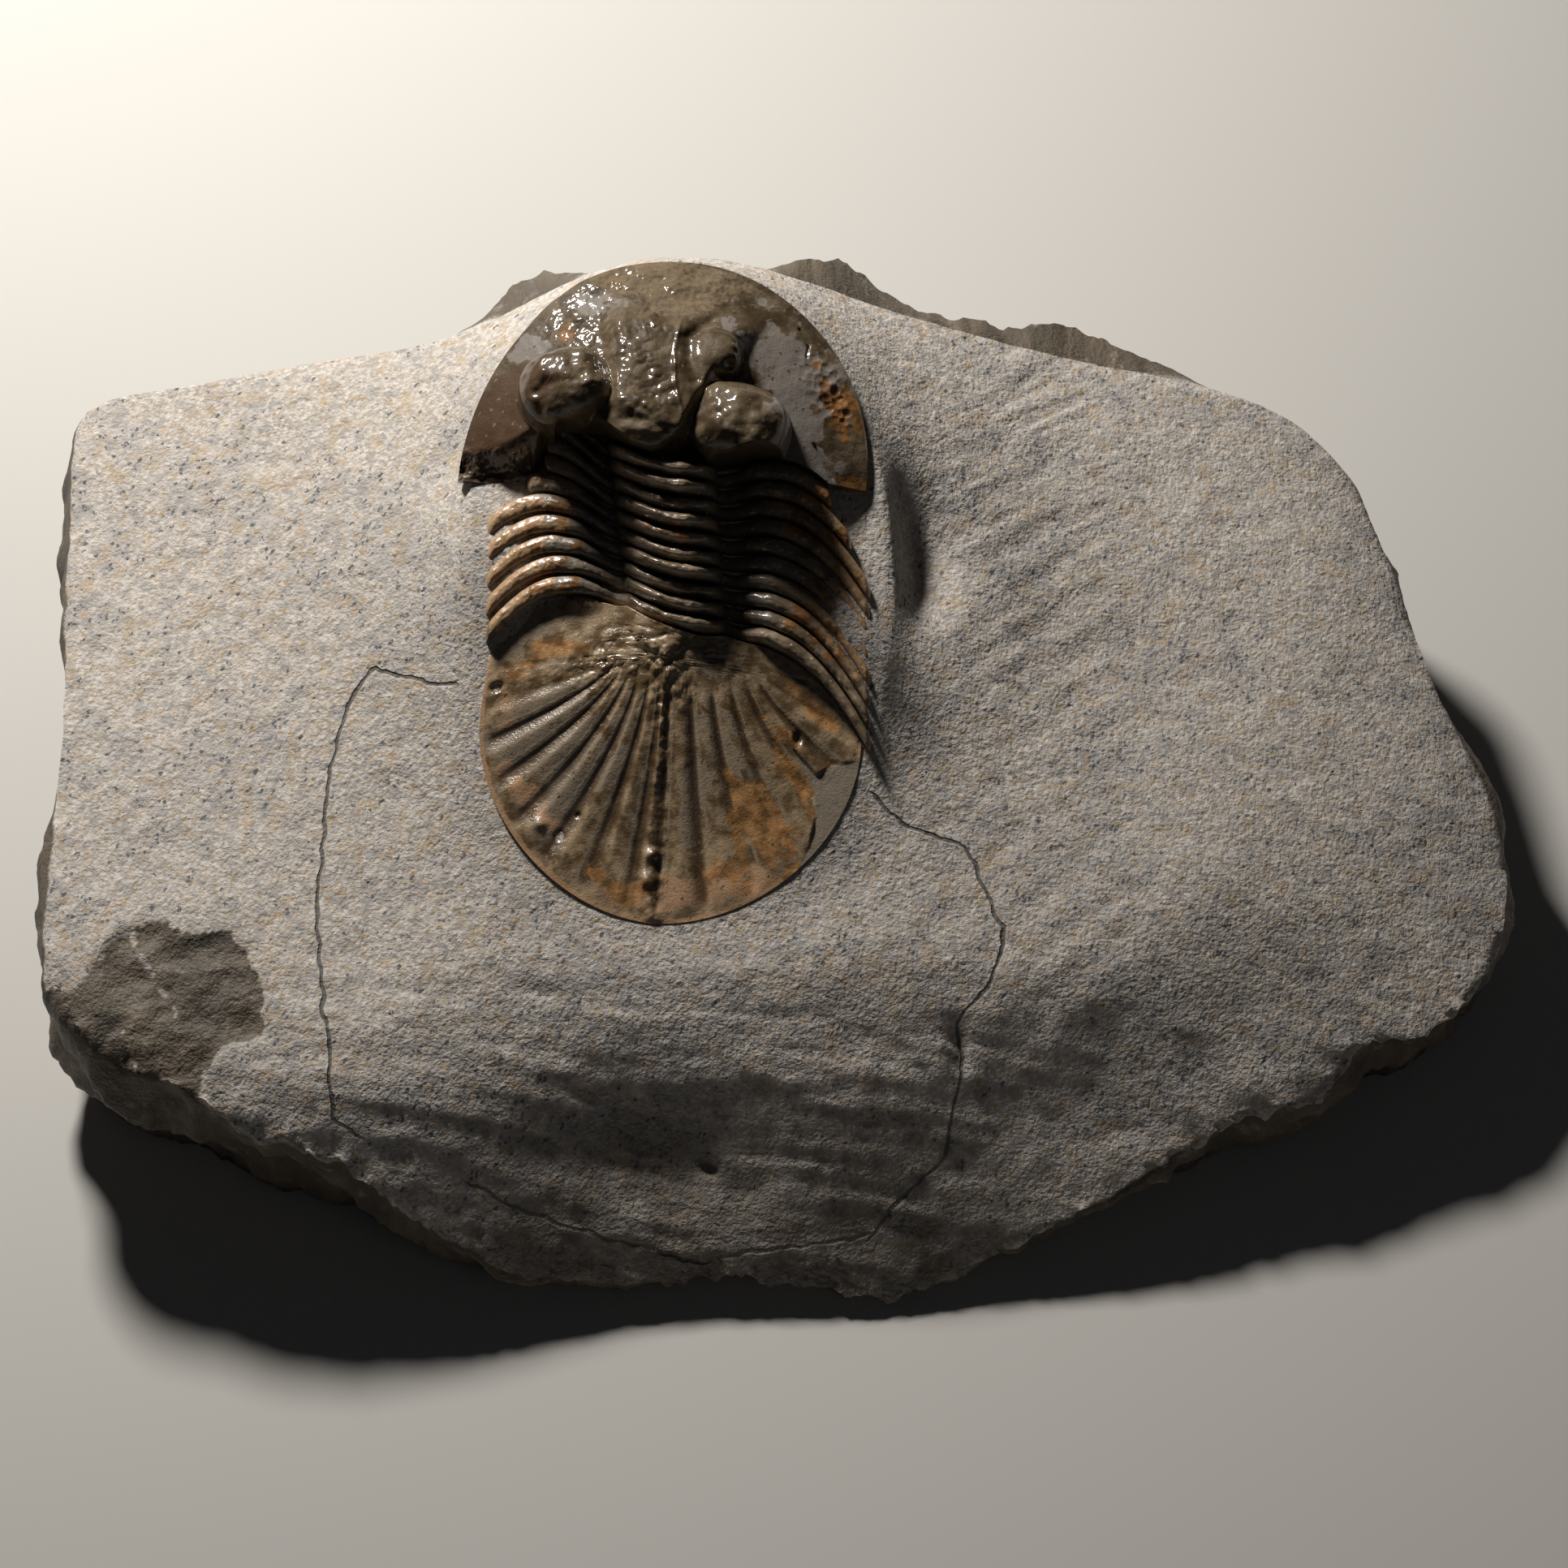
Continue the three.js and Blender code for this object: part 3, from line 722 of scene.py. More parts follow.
    def skin(self, bed: Bed, thorax: Thorax) -> Skin:
        """Lofts the plate from cheek to cheek.

        Args:
            bed: The plane that it lies on.
            thorax: The segments that its back edge lies against.

        Returns:
            The plate's skin.
        """
        share = np.arange(1, self.stations) / self.stations
        across = 0.5 * -np.cos(np.pi * share) + 0.5 * (2 * share - 1)
        x = (across * np.where(across < 0, self.left_half, self.right_half))[:, None]
        back = self.back_edge(x, thorax)
        front = self.front_edge(x)
        ahead = lerp(back, front, np.linspace(0, 1, self.steps + 1)[None, :])
        bed_x = x + self.turn * np.maximum(0, ahead - back)
        bed_y = self.base - self.turn * x + ahead
        height = self.lobed_height(bed_x, bed_y, self.smooth_height(x, ahead, back), thorax)
        from_edge = np.minimum(1, np.minimum(ahead - back, front - ahead) / 0.5)
        # Painted shade: the band just ahead of the back edge on the left cheek is marked for a dark umber
        # tint, and it also gets the crust.
        behind = 1 - smoothstep(ahead - back, 0.5 * self.cheek_slope, self.cheek_slope)
        recess_shade = behind * (1 - smoothstep(x, -12, -8))
        crust = Grain(12).layers(np.stack([bed_x, bed_y], -1), 1.6, 4, 0.6)
        detail = self.relief(bed_x, bed_y) + self.crust * recess_shade * crust
        height = height + detail * np.clip(from_edge, 0, 1)
        wall = np.linspace(0, 1, self.wall_steps)[None, :-1]
        rows_x, rows_y = (
            np.concatenate([np.repeat(row[:, :1], self.wall_steps - 1, 1), row, row[:, -1:]], 1)
            for row in (bed_x, bed_y)
        )
        free = smoothstep(x, -12, -10.5) * (1 - smoothstep(x, *self.overhang_between))
        foot = np.minimum(self.overhang_foot, 0.8 * height[:, :1]) * free
        rows_z = np.concatenate([lerp(foot, height[:, :1], wall), height, np.zeros_like(height[:, :1])], 1)
        ends = []
        for end in (-self.left_half, self.right_half):
            reach = float(self.corner(np.array(end)))
            ends.append(bed.place(np.array([end, self.base - self.turn * end + reach, 0.5 * self.edge])))
        points = bed.place(np.stack([rows_x, rows_y, rows_z], -1))
        # Painted shade: the wall rows under the back edge get an even dark umber tint.
        shade = self.wall_shade * np.ones_like(height[:, :1]) * np.ones_like(wall)
        rows_shade = np.concatenate([shade, recess_shade, recess_shade[:, -1:]], 1)
        return Skin(points, ends[0], ends[1], self.masks(rows_x, rows_y, rows_shade))

    def masks(self, x: Array, y: Array, recess_shade: Array) -> dict[str, Array]:
        """The colour masks of the plate, with painted shade on its back wall and behind the left cheek."""
        spots = np.stack([x, y], -1)
        drift = Grain(11).layers(spots, 2.4, 5, 0.65)
        amber = stained(self.amber, x, y)
        return {
            "rust": broken(np.maximum(stained(self.rust, x, y), amber), drift),
            "slate": broken(stained(self.slate, x, y), -drift),
            "dust": 0.6 * broken(stained(self.dusty, x, y), 0.7 * drift),
            "ruddy": broken(1.3 * stained(self.ruddy, x, y), 0.4 * drift),
            "recess_shade": 0.7 * broken(recess_shade, 0.5 * drift),
        }

    def build(self, bed: Bed, thorax: Thorax, finish: "ShellFinish") -> None:
        """Makes and dresses the plate."""
        piece = self.skin(bed, thorax).build("head_shield_shell")
        settle(piece, "head_shield", finish.material)


@dataclass(frozen=True)
class TailShield:
    """The tail plate: fifteen curved ribs round a granular apex, with a flake of the margin missing."""

    apex: Point = (-0.3, -1.7)
    centre: Point = (0.1, -8.1)
    turn: float = math.radians(-6)
    half_width: float = 0.477 * BODY_WIDTH
    back_reach: float = 0.282 * BODY_LENGTH
    front_reach: float = 11.0
    back_roundness: float = 1.85
    front_roundness: float = 3.6
    edge: float = 0.65
    dome: float = 2.1
    side_ribs: int = 7
    first_furrow: Point = (math.radians(5.0), math.radians(5.5))
    rib_pitch: Point = (math.radians(11.3), math.radians(12.0))
    rib_curve: Point = (1.25, 0.9)
    root_half: Point = (4.6, 8.6)
    root_depth: float = 1.2
    furrow_depth: float = 0.25
    full_rib_width: float = 2.2
    lip: float = 0.05
    rib_rounding: float = 0.2
    lobe_tip: Point = (-0.6, -2.6)
    lobe_half: float = 3.6
    lobe_length: float = 4.2
    lobe_height: float = 1.0
    chip: Trail = Trail((
        (10.3, -9.2), (12.2, -11.3), (13.4, -10.4), (15.1, -10.2), (16.4, -9.6), (19.0, -12.0),
        (16.0, -19.0), (10.6, -19.6), (10.9, -18.4), (11.6, -17.0), (12.0, -15.0), (12.0, -12.8),
        (10.3, -9.2),
    ))
    chip_depth: float = 0.04
    rib_spokes: int = 30
    front_spokes: int = 66
    root_shares: int = 12
    shares: int = 140
    median: Trail = Trail(((-0.3, -3.0), (-0.6, -8.0), (-0.9, -14.0), (-1.3, -23.0)))
    pits: tuple[Stain, ...] = (
        Stain(-14.2, -3.9, 0.42, 0.3, 20, 0.7),
        Stain(-8.9, -16.3, 0.35, 0.3, 0, 0.35),
        Stain(-7.4, -14.6, 0.25, 0.2, 0, 0.3),
        Stain(10.6, -8.3, 0.3, 0.5, 0, 0.5),
    )
    warts: tuple[Stain, ...] = (
        Stain(-10.5, -15.4, 0.55, 0.5, 0, 0.3),
        Stain(-1.3, -17.9, 0.7, 0.5, 0, 0.45),
        Stain(-1.6, -20.0, 0.8, 0.6, 0, 0.35),
        Stain(-6.9, 3.1, 0.9, 0.8, 0, 0.55),
    )
    granular: tuple[Stain, ...] = (
        Stain(-3.5, -1.2, 5.0, 2.2, 15),
        Stain(0.0, -3.0, 2.2, 3.2),
        Stain(4.5, -2.0, 2.6, 1.6, -25, 0.7),
    )
    rust: tuple[Stain, ...] = (
        Stain(10.6, -11.5, 4.6, 1.0, -62),
        Stain(8.4, -16.0, 4.0, 1.3, -60),
        Stain(6.0, -14.0, 4.0, 0.9, -68, 0.8),
        Stain(3.5, -19.5, 5.0, 1.2, 8, 0.7),
        Stain(12.2, -6.2, 3.8, 0.7, -48, 0.9),
        Stain(-10.2, -1.4, 3.0, 1.2, 22, 0.8),
        Stain(-6.0, -19.4, 3.4, 0.8, -38, 0.6),
    )
    ruddy: tuple[Stain, ...] = (
        Stain(4.5, -20.4, 6.5, 1.6, 10),
        Stain(-13.3, -6.5, 1.2, 4.5, 0, 0.5),
        Stain(-11.0, -13.5, 4.5, 1.2, -52, 0.7),
        Stain(-3.0, -21.0, 3.0, 1.2, -15, 0.7),
    )
    slate: tuple[Stain, ...] = (
        Stain(-11.5, -7.5, 5.5, 3.0, 25, 0.9),
        Stain(-7.5, -11.5, 5.0, 2.6, 48, 0.9),
        Stain(5.0, -8.0, 5.0, 1.8, -65, 0.8),
        Stain(-12.0, 1.2, 3.5, 2.2, 25, 0.8),
        Stain(2.2, -14.5, 4.0, 1.4, 85, 0.7),
        Stain(13.0, -4.0, 3.5, 1.0, -45, 0.8),
        Stain(9.3, -17.4, 1.8, 1.2, -50, 0.7),
    )
    calcite: tuple[Stain, ...] = (
        Stain(-2.0, 0.8, 0.8, 1.6, 0, 0.5),
        Stain(14.5, -2.2, 4.5, 0.5, -52, 0.8),
    )

    def inside(self, x: Array, y: Array, thorax: Thorax) -> Array:
        """Whether points lie on the plate."""
        along, up = turned(x - self.centre[0], y - self.centre[1], self.turn)
        reach = np.where(up < 0, self.back_reach, self.front_reach)
        roundness = np.where(up < 0, self.back_roundness, self.front_roundness)
        oval = np.abs(along / self.half_width) ** roundness + np.abs(up / reach) ** roundness < 1
        return oval & (y <= thorax.back_edge(x))

    def fans(self) -> Array:
        """The angles of the spokes round the apex: across the ribs, and then on round the front."""
        steps = np.arange(self.side_ribs + 1)
        left = -self.first_furrow[0] - self.rib_pitch[0] * steps[::-1]
        right = self.first_furrow[1] + self.rib_pitch[1] * steps
        furrows = np.concatenate([left, right])
        count = (len(furrows) - 1) * self.rib_spokes
        ribbed = np.interp(np.arange(count + 1) / self.rib_spokes, np.arange(len(furrows)), furrows)
        plain = np.linspace(furrows[-1], furrows[0] + 2 * np.pi, self.front_spokes + 1)[1:-1]
        return np.concatenate([ribbed, plain])

    def reach(self, way_x: Array, way_y: Array, thorax: Thorax) -> Array:
        """How far the plate reaches from the apex along each spoke."""
        def held(distance: Array) -> Array:
            """Whether a distance along each spoke lies on the plate."""
            return self.inside(self.apex[0] + way_x * distance, self.apex[1] + way_y * distance, thorax)

        return farthest(held, way_x)

    def spread(self, fan: Array, share: Array, thorax: Thorax) -> tuple[Array, Array]:
        """Lays the spokes out: they leave an oval round the apex and curve away to the margin.

        Args:
            fan: The spokes' angles.
            share: Shares of the way along them, from -1 at the apex over 0 on the oval to 1 at the margin.
            thorax: The segments that the front edge lies against.

        Returns:
            The x and the y of each share of each spoke.
        """
        sine, cosine = np.sin(fan), np.cos(fan)
        root_half = np.where(sine < 0, *self.root_half)
        root_x, root_y = turned(root_half * sine, -self.root_depth * cosine, -self.turn)
        way_x, way_y = turned(sine, -cosine, -self.turn)
        reach = self.reach(way_x, way_y, thorax)
        curved = smoothstep(cosine, -0.2, 0.25)
        root = np.clip(1 + share, 0, 1)
        along = np.clip(share, 0, 1)
        x = lerp(root_x * root, way_x * reach, along ** lerp(1, self.rib_curve[0], curved))
        y = lerp(root_y * root, way_y * reach, along ** lerp(1, self.rib_curve[1], curved))
        return self.apex[0] + x, self.apex[1] + y

    def rib_profile(self, x: Array, y: Array, share: Array) -> tuple[Array, Array, Array]:
        """Broad flat ribs, each with a lip at its inner edge that drops into the furrow beside it.

        Args:
            x: The points' x, one column per spoke.
            y: The points' y.
            share: Their shares of the way to the margin.

        Returns:
            The height of the relief, how far down in a furrow each point lies, which is painted as shade, and
            how near to a lip, which is painted as a highlight, from 0 to 1.
        """
        ribs = 2 * self.side_ribs + 1
        band = np.arange(x.shape[1])[None, :] / self.rib_spokes
        ribbed = band <= ribs
        inward = np.where(band < 0.5 * ribs, band - np.floor(band), np.ceil(band) - band)
        wall = 1 - smoothstep(inward, 0, 0.2)
        top = np.maximum(wall, smoothstep(inward, 0.2, 0.62))
        lip = np.exp(-(((1 - inward) / 0.08) ** 2)) + np.exp(-((inward / 0.03) ** 2))
        width = np.hypot(np.gradient(x, axis=1), np.gradient(y, axis=1)) * self.rib_spokes
        size = np.minimum(1, width / self.full_rib_width)
        outer = smoothstep(np.abs(band - 0.5 * ribs), 0.5 * ribs - 2.2, 0.5 * ribs - 0.8)
        shown = smoothstep(share, 0.0, 0.12) * (1 - smoothstep(share, 0.9, 1.0)) * ribbed * (1 - 0.75 * outer)
        rounded = self.rib_rounding * np.sin(np.pi * np.clip(inward, 0, 1)) ** 0.7
        relief = size * (self.furrow_depth * (top - 1) + self.lip * lip + rounded)
        return shown * relief, shown * (1 - top), shown * np.minimum(1, lip)

    def skin(self, bed: Bed, thorax: Thorax) -> Skin:
        """Spreads the fan from the apex to the margin.

        Args:
            bed: The plane that it lies on.
            thorax: The segments that its front edge lies against.

        Returns:
            The plate's skin.
        """
        fan = self.fans()[None, :]
        root = np.linspace(-1, 0, self.root_shares + 1)[1:-1]
        share = np.concatenate([root, np.linspace(0, 1, self.shares)])[:, None]
        x, y = self.spread(fan, share, thorax)
        spots = np.stack([x, y], -1)
        ragged = Grain(21).layers(spots, 1.2, 4)
        gone = smoothstep(self.chip.depth(x, y) + 0.12 * ragged, -0.1, 0.1)
        radius = np.hypot(x - self.apex[0], y - self.apex[1])
        smooth = self.edge + self.dome * (1 - np.minimum(1, radius / self.half_width)) ** 1.2
        ribs, recess_shade, lip = self.rib_profile(x, y, share)
        detail = (ribs + self.relief(x, y, spots)) * (1 - smoothstep(share, 0.985, 1.0))
        height = smooth + self.axis_lobe(x, y) + lerp(detail, 0.04 * ragged - self.chip_depth, gone)
        foot = np.stack([x[-1], y[-1], np.zeros_like(x[-1])], -1)[None]
        points = np.concatenate([np.stack([x, y, height], -1), foot])
        first_tip = bed.place(np.array([*self.apex, float(height[0].mean())]))
        last_tip = bed.place(np.array([*self.apex, 0.0]))
        return Skin(bed.place(points), first_tip, last_tip, self.masks(x, y, share, 1 - gone, recess_shade, lip))

    def axis_lobe(self, x: Array, y: Array) -> Array:
        """The three-cornered end of the axis, tapering back to a tip."""
        ahead = np.clip((y - self.lobe_tip[1]) / self.lobe_length, 0, 1)
        half = np.maximum(0.05, self.lobe_half * ahead**0.8)
        across = (x - self.lobe_tip[0] - 0.5 * ahead) / half
        return self.lobe_height * ahead**0.7 * np.sqrt(np.maximum(0, 1 - across**2))

    def relief(self, x: Array, y: Array, spots: Array) -> Array:
        """Granules near the apex and on the median rib, pits, warts and a fine unevenness."""
        coarse = Grain(22).granules(spots, 0.9)
        fine = Grain(23).granules(spots, 0.4)
        uneven = Grain(24).layers(spots, 1.8, 3)
        crest = self.median.ridge(x, y, 0.7)
        knobbly = Grain(26).layers(spots, 1.3, 3, 0.6)
        height = stained(self.granular, x, y) * (0.3 * coarse + 0.1 * fine - 0.1)
        height = height + crest * (0.13 + 0.22 * knobbly + 0.2 * coarse) + 0.045 * uneven + 0.006 * fine
        for wart in self.warts:
            height = height + wart.cover(x, y)
        for pit in self.pits:
            height = height - pit.cover(x, y)
        return height

    def masks(
        self, x: Array, y: Array, share: Array, kept: Array, recess_shade: Array, lip: Array
    ) -> dict[str, Array]:
        """The colour masks of the plate, with a row for the foot of its margin, painted shade in the furrows
        and a painted highlight on the rib lips.

        Args:
            x: The points' x.
            y: The points' y.
            share: Their shares of the way to the margin.
            kept: 1 where the shell is whole, 0 where a flake is missing.
            recess_shade: How far down in a furrow they lie, a share that is painted dark as shade.
            lip: How near to the lip of a rib they lie; the lip is tinted pale slate as a painted highlight.

        Returns:
            The masks by name.
        """
        spots = np.stack([x, y], -1)
        drift = Grain(25).layers(spots, 2.2, 5, 0.65)
        brim = smoothstep(share + 0.01 * drift, 0.965, 0.985) * kept
        way = np.arctan2(x - self.apex[0], self.apex[1] - y)
        radius = np.hypot(x - self.apex[0], y - self.apex[1])
        rays = Grain(27).layers(np.stack([12 * way, radius / 4], -1), 1.2, 4, 0.6)
        rusty_side = smoothstep(x, 1, 7) * smoothstep(-y, 8, 16)
        rust = np.maximum(stained(self.rust, x, y), 0.9 * rusty_side * recess_shade)
        masks = {
            "rust": broken(rust, 0.5 * drift + 0.9 * rays) * kept,
            # Partly painted highlight: besides the real slate stains, the rib lips are tinted pale slate
            # where light catches them.
            "slate": np.maximum(broken(stained(self.slate, x, y), -0.6 * drift - rays), 0.8 * lip) * kept,
            "dust": np.clip(stained(self.calcite, x, y) + 0.75 * (1 - kept), 0, 1),
            "ruddy": np.maximum(0.8 * brim, 0.8 * broken(stained(self.ruddy, x, y), 0.6 * drift) * kept),
            # Painted shade: furrow floors get the dark umber tint, halved on the rusty right side.
            "recess_shade": 0.9 * recess_shade * kept * lerp(1, 0.5, rusty_side),
        }
        return {name: np.concatenate([mask, mask[-1:]]) for name, mask in masks.items()}

    def build(self, bed: Bed, thorax: Thorax, finish: "ShellFinish") -> None:
        """Makes and dresses the plate."""
        piece = self.skin(bed, thorax).build("tail_shield_shell")
        settle(piece, "tail_shield", finish.material)


@dataclass(frozen=True)
class MatrixBlock:
    """The block of limestone: the worked ground with the hill that carries the fossil, and rough walls."""

    rim: tuple[Point, ...] = (
        (60.5, -4), (58, 3), (54.5, 13), (51.5, 23), (48.5, 30), (43, 34.5), (35, 36.5), (22, 38),
        (9, 39), (-3, 39.5), (-17, 39), (-27, 37), (-40, 37), (-52, 35.5), (-60, 33.5), (-61, 29),
        (-60.5, 15), (-60, -4), (-59.5, -20.5), (-56, -25), (-48, -29), (-42, -32), (-35, -34),
        (-29, -37.5), (-23, -39.5), (-15, -40.5), (-7, -39.5), (0, -40), (8.5, -41), (16, -38),
        (24, -35), (31, -31.5), (38, -27.5), (43, -26.5), (48, -22), (53, -21), (57.5, -17),
        (60.5, -10),
    )
    field_height: float = 18.7
    back_rise: float = 0.05
    right_fall: float = 0.02
    brow: Point = (-29.0, -21.5)
    brow_between: Point = (-42.0, -8.0)
    front_slope: float = 0.8
    front_rounding: float = 7.0
    right_edge_start: float = 30.0
    right_edge_curve: float = 0.006
    hill_reaches: Point = (11.0, 15.0)
    bed_right: float = 0.6
    bed_ahead: float = 4.4
    bed_half_width: float = 17.8
    bed_half_length: float = 28.2
    bed_roundness: float = 2.1
    bed_shares: tuple[float, ...] = (0.25, 0.45, 0.58, 0.68, 0.75, 0.8, 0.84, 0.88, 0.91, 0.94, 0.97)
    rim_steps: int = 60
    rim_fade: float = 1.6
    rim_push: float = 0.6
    stroke_length: float = 8.0
    stroke_width: float = 1.1
    tone_sizes: tuple[float, ...] = (9.0, 2.6, 1.2)
    hollow: Stain = Stain(10.3, 15.5, 3.8, 5.2, 0, 3.0)
    rim_margin: float = 0.5
    full_bulge_height: float = 14.0
    wall_bulge: float = 1.2
    wall_facet: float = 0.8
    base_inset: float = 1.5
    back_knobs: tuple[tuple[float, float, float], ...] = ((-21, 4, 3.0), (4, 5, 4), (22.5, 11, 3.4))
    knob_lumps: float = 0.45
    back_from: float = 30.0
    seat: float = 0.46
    calm: float = 0.3
    calm_between: Point = (-1.0, 7.0)
    banks: tuple[Stain, ...] = (
        Stain(-22.6, 14.2, 4.0, 6.4, 0, 1.5),
        Stain(5.4, 8.0, 6.0, 2.6, -55, 1.8),
    )
    spokes: int = 880
    ground_rings: int = 76
    wall_rings: int = 22
    dents: tuple[Stain, ...] = (
        Stain(-27.8, 23.6, 3.4, 2.6, 60, 1.3),
        Stain(-9.5, -31.2, 9.5, 4.2, -4, 1.9),
        Stain(26.0, -27.0, 16.0, 7.0, 18, 1.5),
        Stain(44.0, -20.0, 16.0, 9.0, 20, 1.6),
        Stain(-2.0, -17.5, 22.0, 4.5, 0, -0.7),
        Stain(-6.2, -31.8, 0.9, 0.5, -30, 0.8),
        Stain(14.3, -24.0, 0.8, 1.6, 0, 0.5),
    )
    natural_patch: Trail = Trail((
        (-60.0, -20.5), (-57.0, -20.5), (-55.3, -16.7), (-53.7, -15.6), (-50.4, -15.2), (-48.1, -16.2),
        (-45.8, -15.8), (-44.1, -16.8), (-42.7, -18.5), (-41.9, -21.6), (-42.1, -24.6), (-45.3, -25.6),
        (-46.6, -27.3), (-47.9, -30.5), (-57.0, -29.0), (-60.0, -20.5),
    ))
    # Painted shade on the front slope: its strength and its middle across.
    slope_shade_strength: float = 0.54
    slope_shade_middle: float = -4.0
    streaks: tuple[Trail, ...] = (
        Trail(((-54.2, -13.1), (-52.6, -17.6), (-51.4, -19.2), (-49.0, -23.1))),
        Trail(((-53.4, -24.2), (-52.4, -26.4), (-52.2, -28.6))),
        Trail(((-56.6, -17.6), (-54.9, -18.2))),
    )
    cracks: tuple[Trail, ...] = (
        Trail(((-27.3, 4.2), (-30.5, 5.2), (-34.2, 6.9), (-36.3, 3.6), (-37.4, -1.6), (-38.3, -12.2),
               (-37.2, -22.6), (-36.2, -30.6), (-34.5, -31.7))),
        Trail(((-25.5, -34.4), (-17.5, -36.7), (-7.0, -38.5), (6.9, -36.8))),
        Trail(((7.3, -4.6), (10.5, -7.1), (15.0, -8.4), (18.2, -15.0), (17.0, -19.1), (14.2, -22.1),
               (14.5, -25.1), (13.1, -31.3), (6.9, -36.8))),
    )

    def rim_points(self) -> Array:
        """Evenly spaced points on a smooth closed curve through the rim's corners."""
        corners = np.array(self.rim, float)
        count = len(corners)
        curve = []
        for k in range(count):
            four = [corners[(k + j) % count] for j in (-1, 0, 1, 2)]
            curve.append(self.curve_between(four, np.linspace(0, 1, self.rim_steps, endpoint=False)))
        dense = np.concatenate([*curve, curve[0][:1]])
        run = np.concatenate([[0], np.cumsum(np.linalg.norm(np.diff(dense, axis=0), axis=1))])
        wanted = np.linspace(0, run[-1], self.spokes, endpoint=False)
        return np.stack([np.interp(wanted, run, dense[:, axis]) for axis in (0, 1)], -1)

    @staticmethod
    def curve_between(four: list[Array], share: Array) -> Array:
        """The stretch of a centripetal curve between the middle two of four points.

        Args:
            four: The point before, the two ends and the point after.
            share: Shares of the way along the stretch.

        Returns:
            One point per share.
        """
        knots = [0.0]
        for before, after in itertools.pairwise(four):
            knots.append(knots[-1] + math.sqrt(float(np.linalg.norm(after - before))))
        t = (knots[1] + (knots[2] - knots[1]) * share)[:, None]
        row = four
        for spans in (((0, 1), (1, 2), (2, 3)), ((0, 2), (1, 3)), ((1, 2),)):
            row = [
                lerp(row[k], row[k + 1], (t - knots[low]) / (knots[high] - knots[low]))
                for k, (low, high) in enumerate(spans)
            ]
        return row[0]

    def field(self, x: Array, y: Array) -> Array:
        """The worked surface away from the hill."""
        past = lerp(*self.brow, smoothstep(x, *self.brow_between)) - y
        drop = 0.5 * self.front_slope * (past + np.hypot(past, self.front_rounding))
        right = np.maximum(0, x - self.right_edge_start)
        slope = self.back_rise * y - self.right_fall * x
        return self.field_height + slope - drop - self.right_edge_curve * right**2

    def bed_reach(self, way_x: Array, way_y: Array, bed: Bed) -> Array:
        """How far the fossil's oval patch reaches from the middle of the hill along each spoke."""
        def held(distance: Array) -> Array:
            """Whether a distance along each spoke lies in the patch."""
            x = (way_x * distance - self.bed_right) / self.bed_half_width
            ahead = (way_y * distance + self.bed_ahead) / math.cos(bed.tilt) - self.bed_ahead
            y = ahead / self.bed_half_length
            return np.abs(x) ** self.bed_roundness + np.abs(y) ** self.bed_roundness < 1

        return farthest(held, way_x)

    def ground(self, x: Array, y: Array, distance: Array, way_x: Array, bed: Bed) -> Array:
        """The worked ground: the hill fades into the field.

        Args:
            x: The points' x.
            y: The points' y.
            distance: How far outside the fossil's oval patch they lie; negative inside.
            way_x: How far the points' spokes lean to the right.
            bed: The plane that the fossil lies on.

        Returns:
            The height of each point.
        """
        field_height = self.field(x, y)
        outside = np.maximum(0, distance)
        reach = lerp(*self.hill_reaches, 0.5 + 0.5 * way_x)
        hill = (bed.height(y, self.seat) - field_height) * np.exp(-outside / reach)
        banks = sum(bank.cover(x, y) for bank in self.banks)
        return field_height + hill + banks - self.hollow.cover(x, y) * smoothstep(outside, 0, 2.4)

    def scraped(self, x: Array, y: Array) -> Array:
        """What the preparator's tools left: strokes, dents and an uneven, gritty surface."""
        spots = np.stack([x, y], -1)
        uneven = Grain(70).layers(spots, 9.0, 5, 0.55)
        grit = Grain(71).layers(spots, 1.6, 3, 0.6)
        height = 0.26 * uneven + 0.1 * grit
        right = smoothstep(x, 8, 22)
        far = smoothstep(x, 25, 31)
        slope = smoothstep(-y, 12, 24)
        strokes = (
            (38, 0.17, right * (1 - far) * (1 - 0.6 * slope)),
            (-42, 0.17, far),
            (-5, 0.24, slope * (1 - 0.5 * right)),
        )
        for angle, strength, share in strokes:
            along, across = turned(x, y, math.radians(angle))
            stretched = np.stack([along / self.stroke_length, across], -1)
            lines = Grain(72 + angle).layers(stretched, self.stroke_width, 3, 0.6)
            height = height + strength * share * lines
        for dent in self.dents:
            height = height - dent.cover(x, y)
        return height

    def skin(self, bed: Bed) -> Skin:
        """Spreads the ground from the middle of the hill to the rim, and drops the walls to the base.

        Args:
            bed: The plane that the fossil lies on.

        Returns:
            The block's skin.
        """
        rim = self.rim_points()
        middle = np.array([bed.origin[0], bed.origin[1] + self.bed_ahead])
        spoke = rim - middle
        reach = np.linalg.norm(spoke, axis=1)
        way_x, way_y = (spoke / reach[:, None]).T
        oval = np.minimum(self.bed_reach(way_x, way_y, bed), reach - self.rim_margin)
        tangent = np.roll(rim, -1, axis=0) - np.roll(rim, 1, axis=0)
        outward = np.stack([tangent[:, 1], -tangent[:, 0]], -1)
        outward = outward / np.linalg.norm(outward, axis=1)[:, None]
        inner = np.array(self.bed_shares)[:, None] * oval
        outer = oval + np.linspace(0, 1, self.ground_rings)[:, None] ** 1.1 * (reach - oval)
        radius = np.concatenate([inner, outer])
        x = middle[0] + way_x * radius
        y = middle[1] + way_y * radius
        to_rim = reach - radius
        height = self.ground(x, y, radius - oval, np.broadcast_to(way_x, x.shape), bed)
        calm = lerp(self.calm, 1, smoothstep(radius - oval, *self.calm_between))
        height = height + self.scraped(x, y) * calm
        rock = Grain(81).layers(np.stack([x, y], -1), 1.8, 4, 0.65)
        height = height - smoothstep(self.natural_patch.depth(x, y), -0.5, 0.8) * (0.3 + 0.4 * rock)
        ragged = self.ragged(x, y)
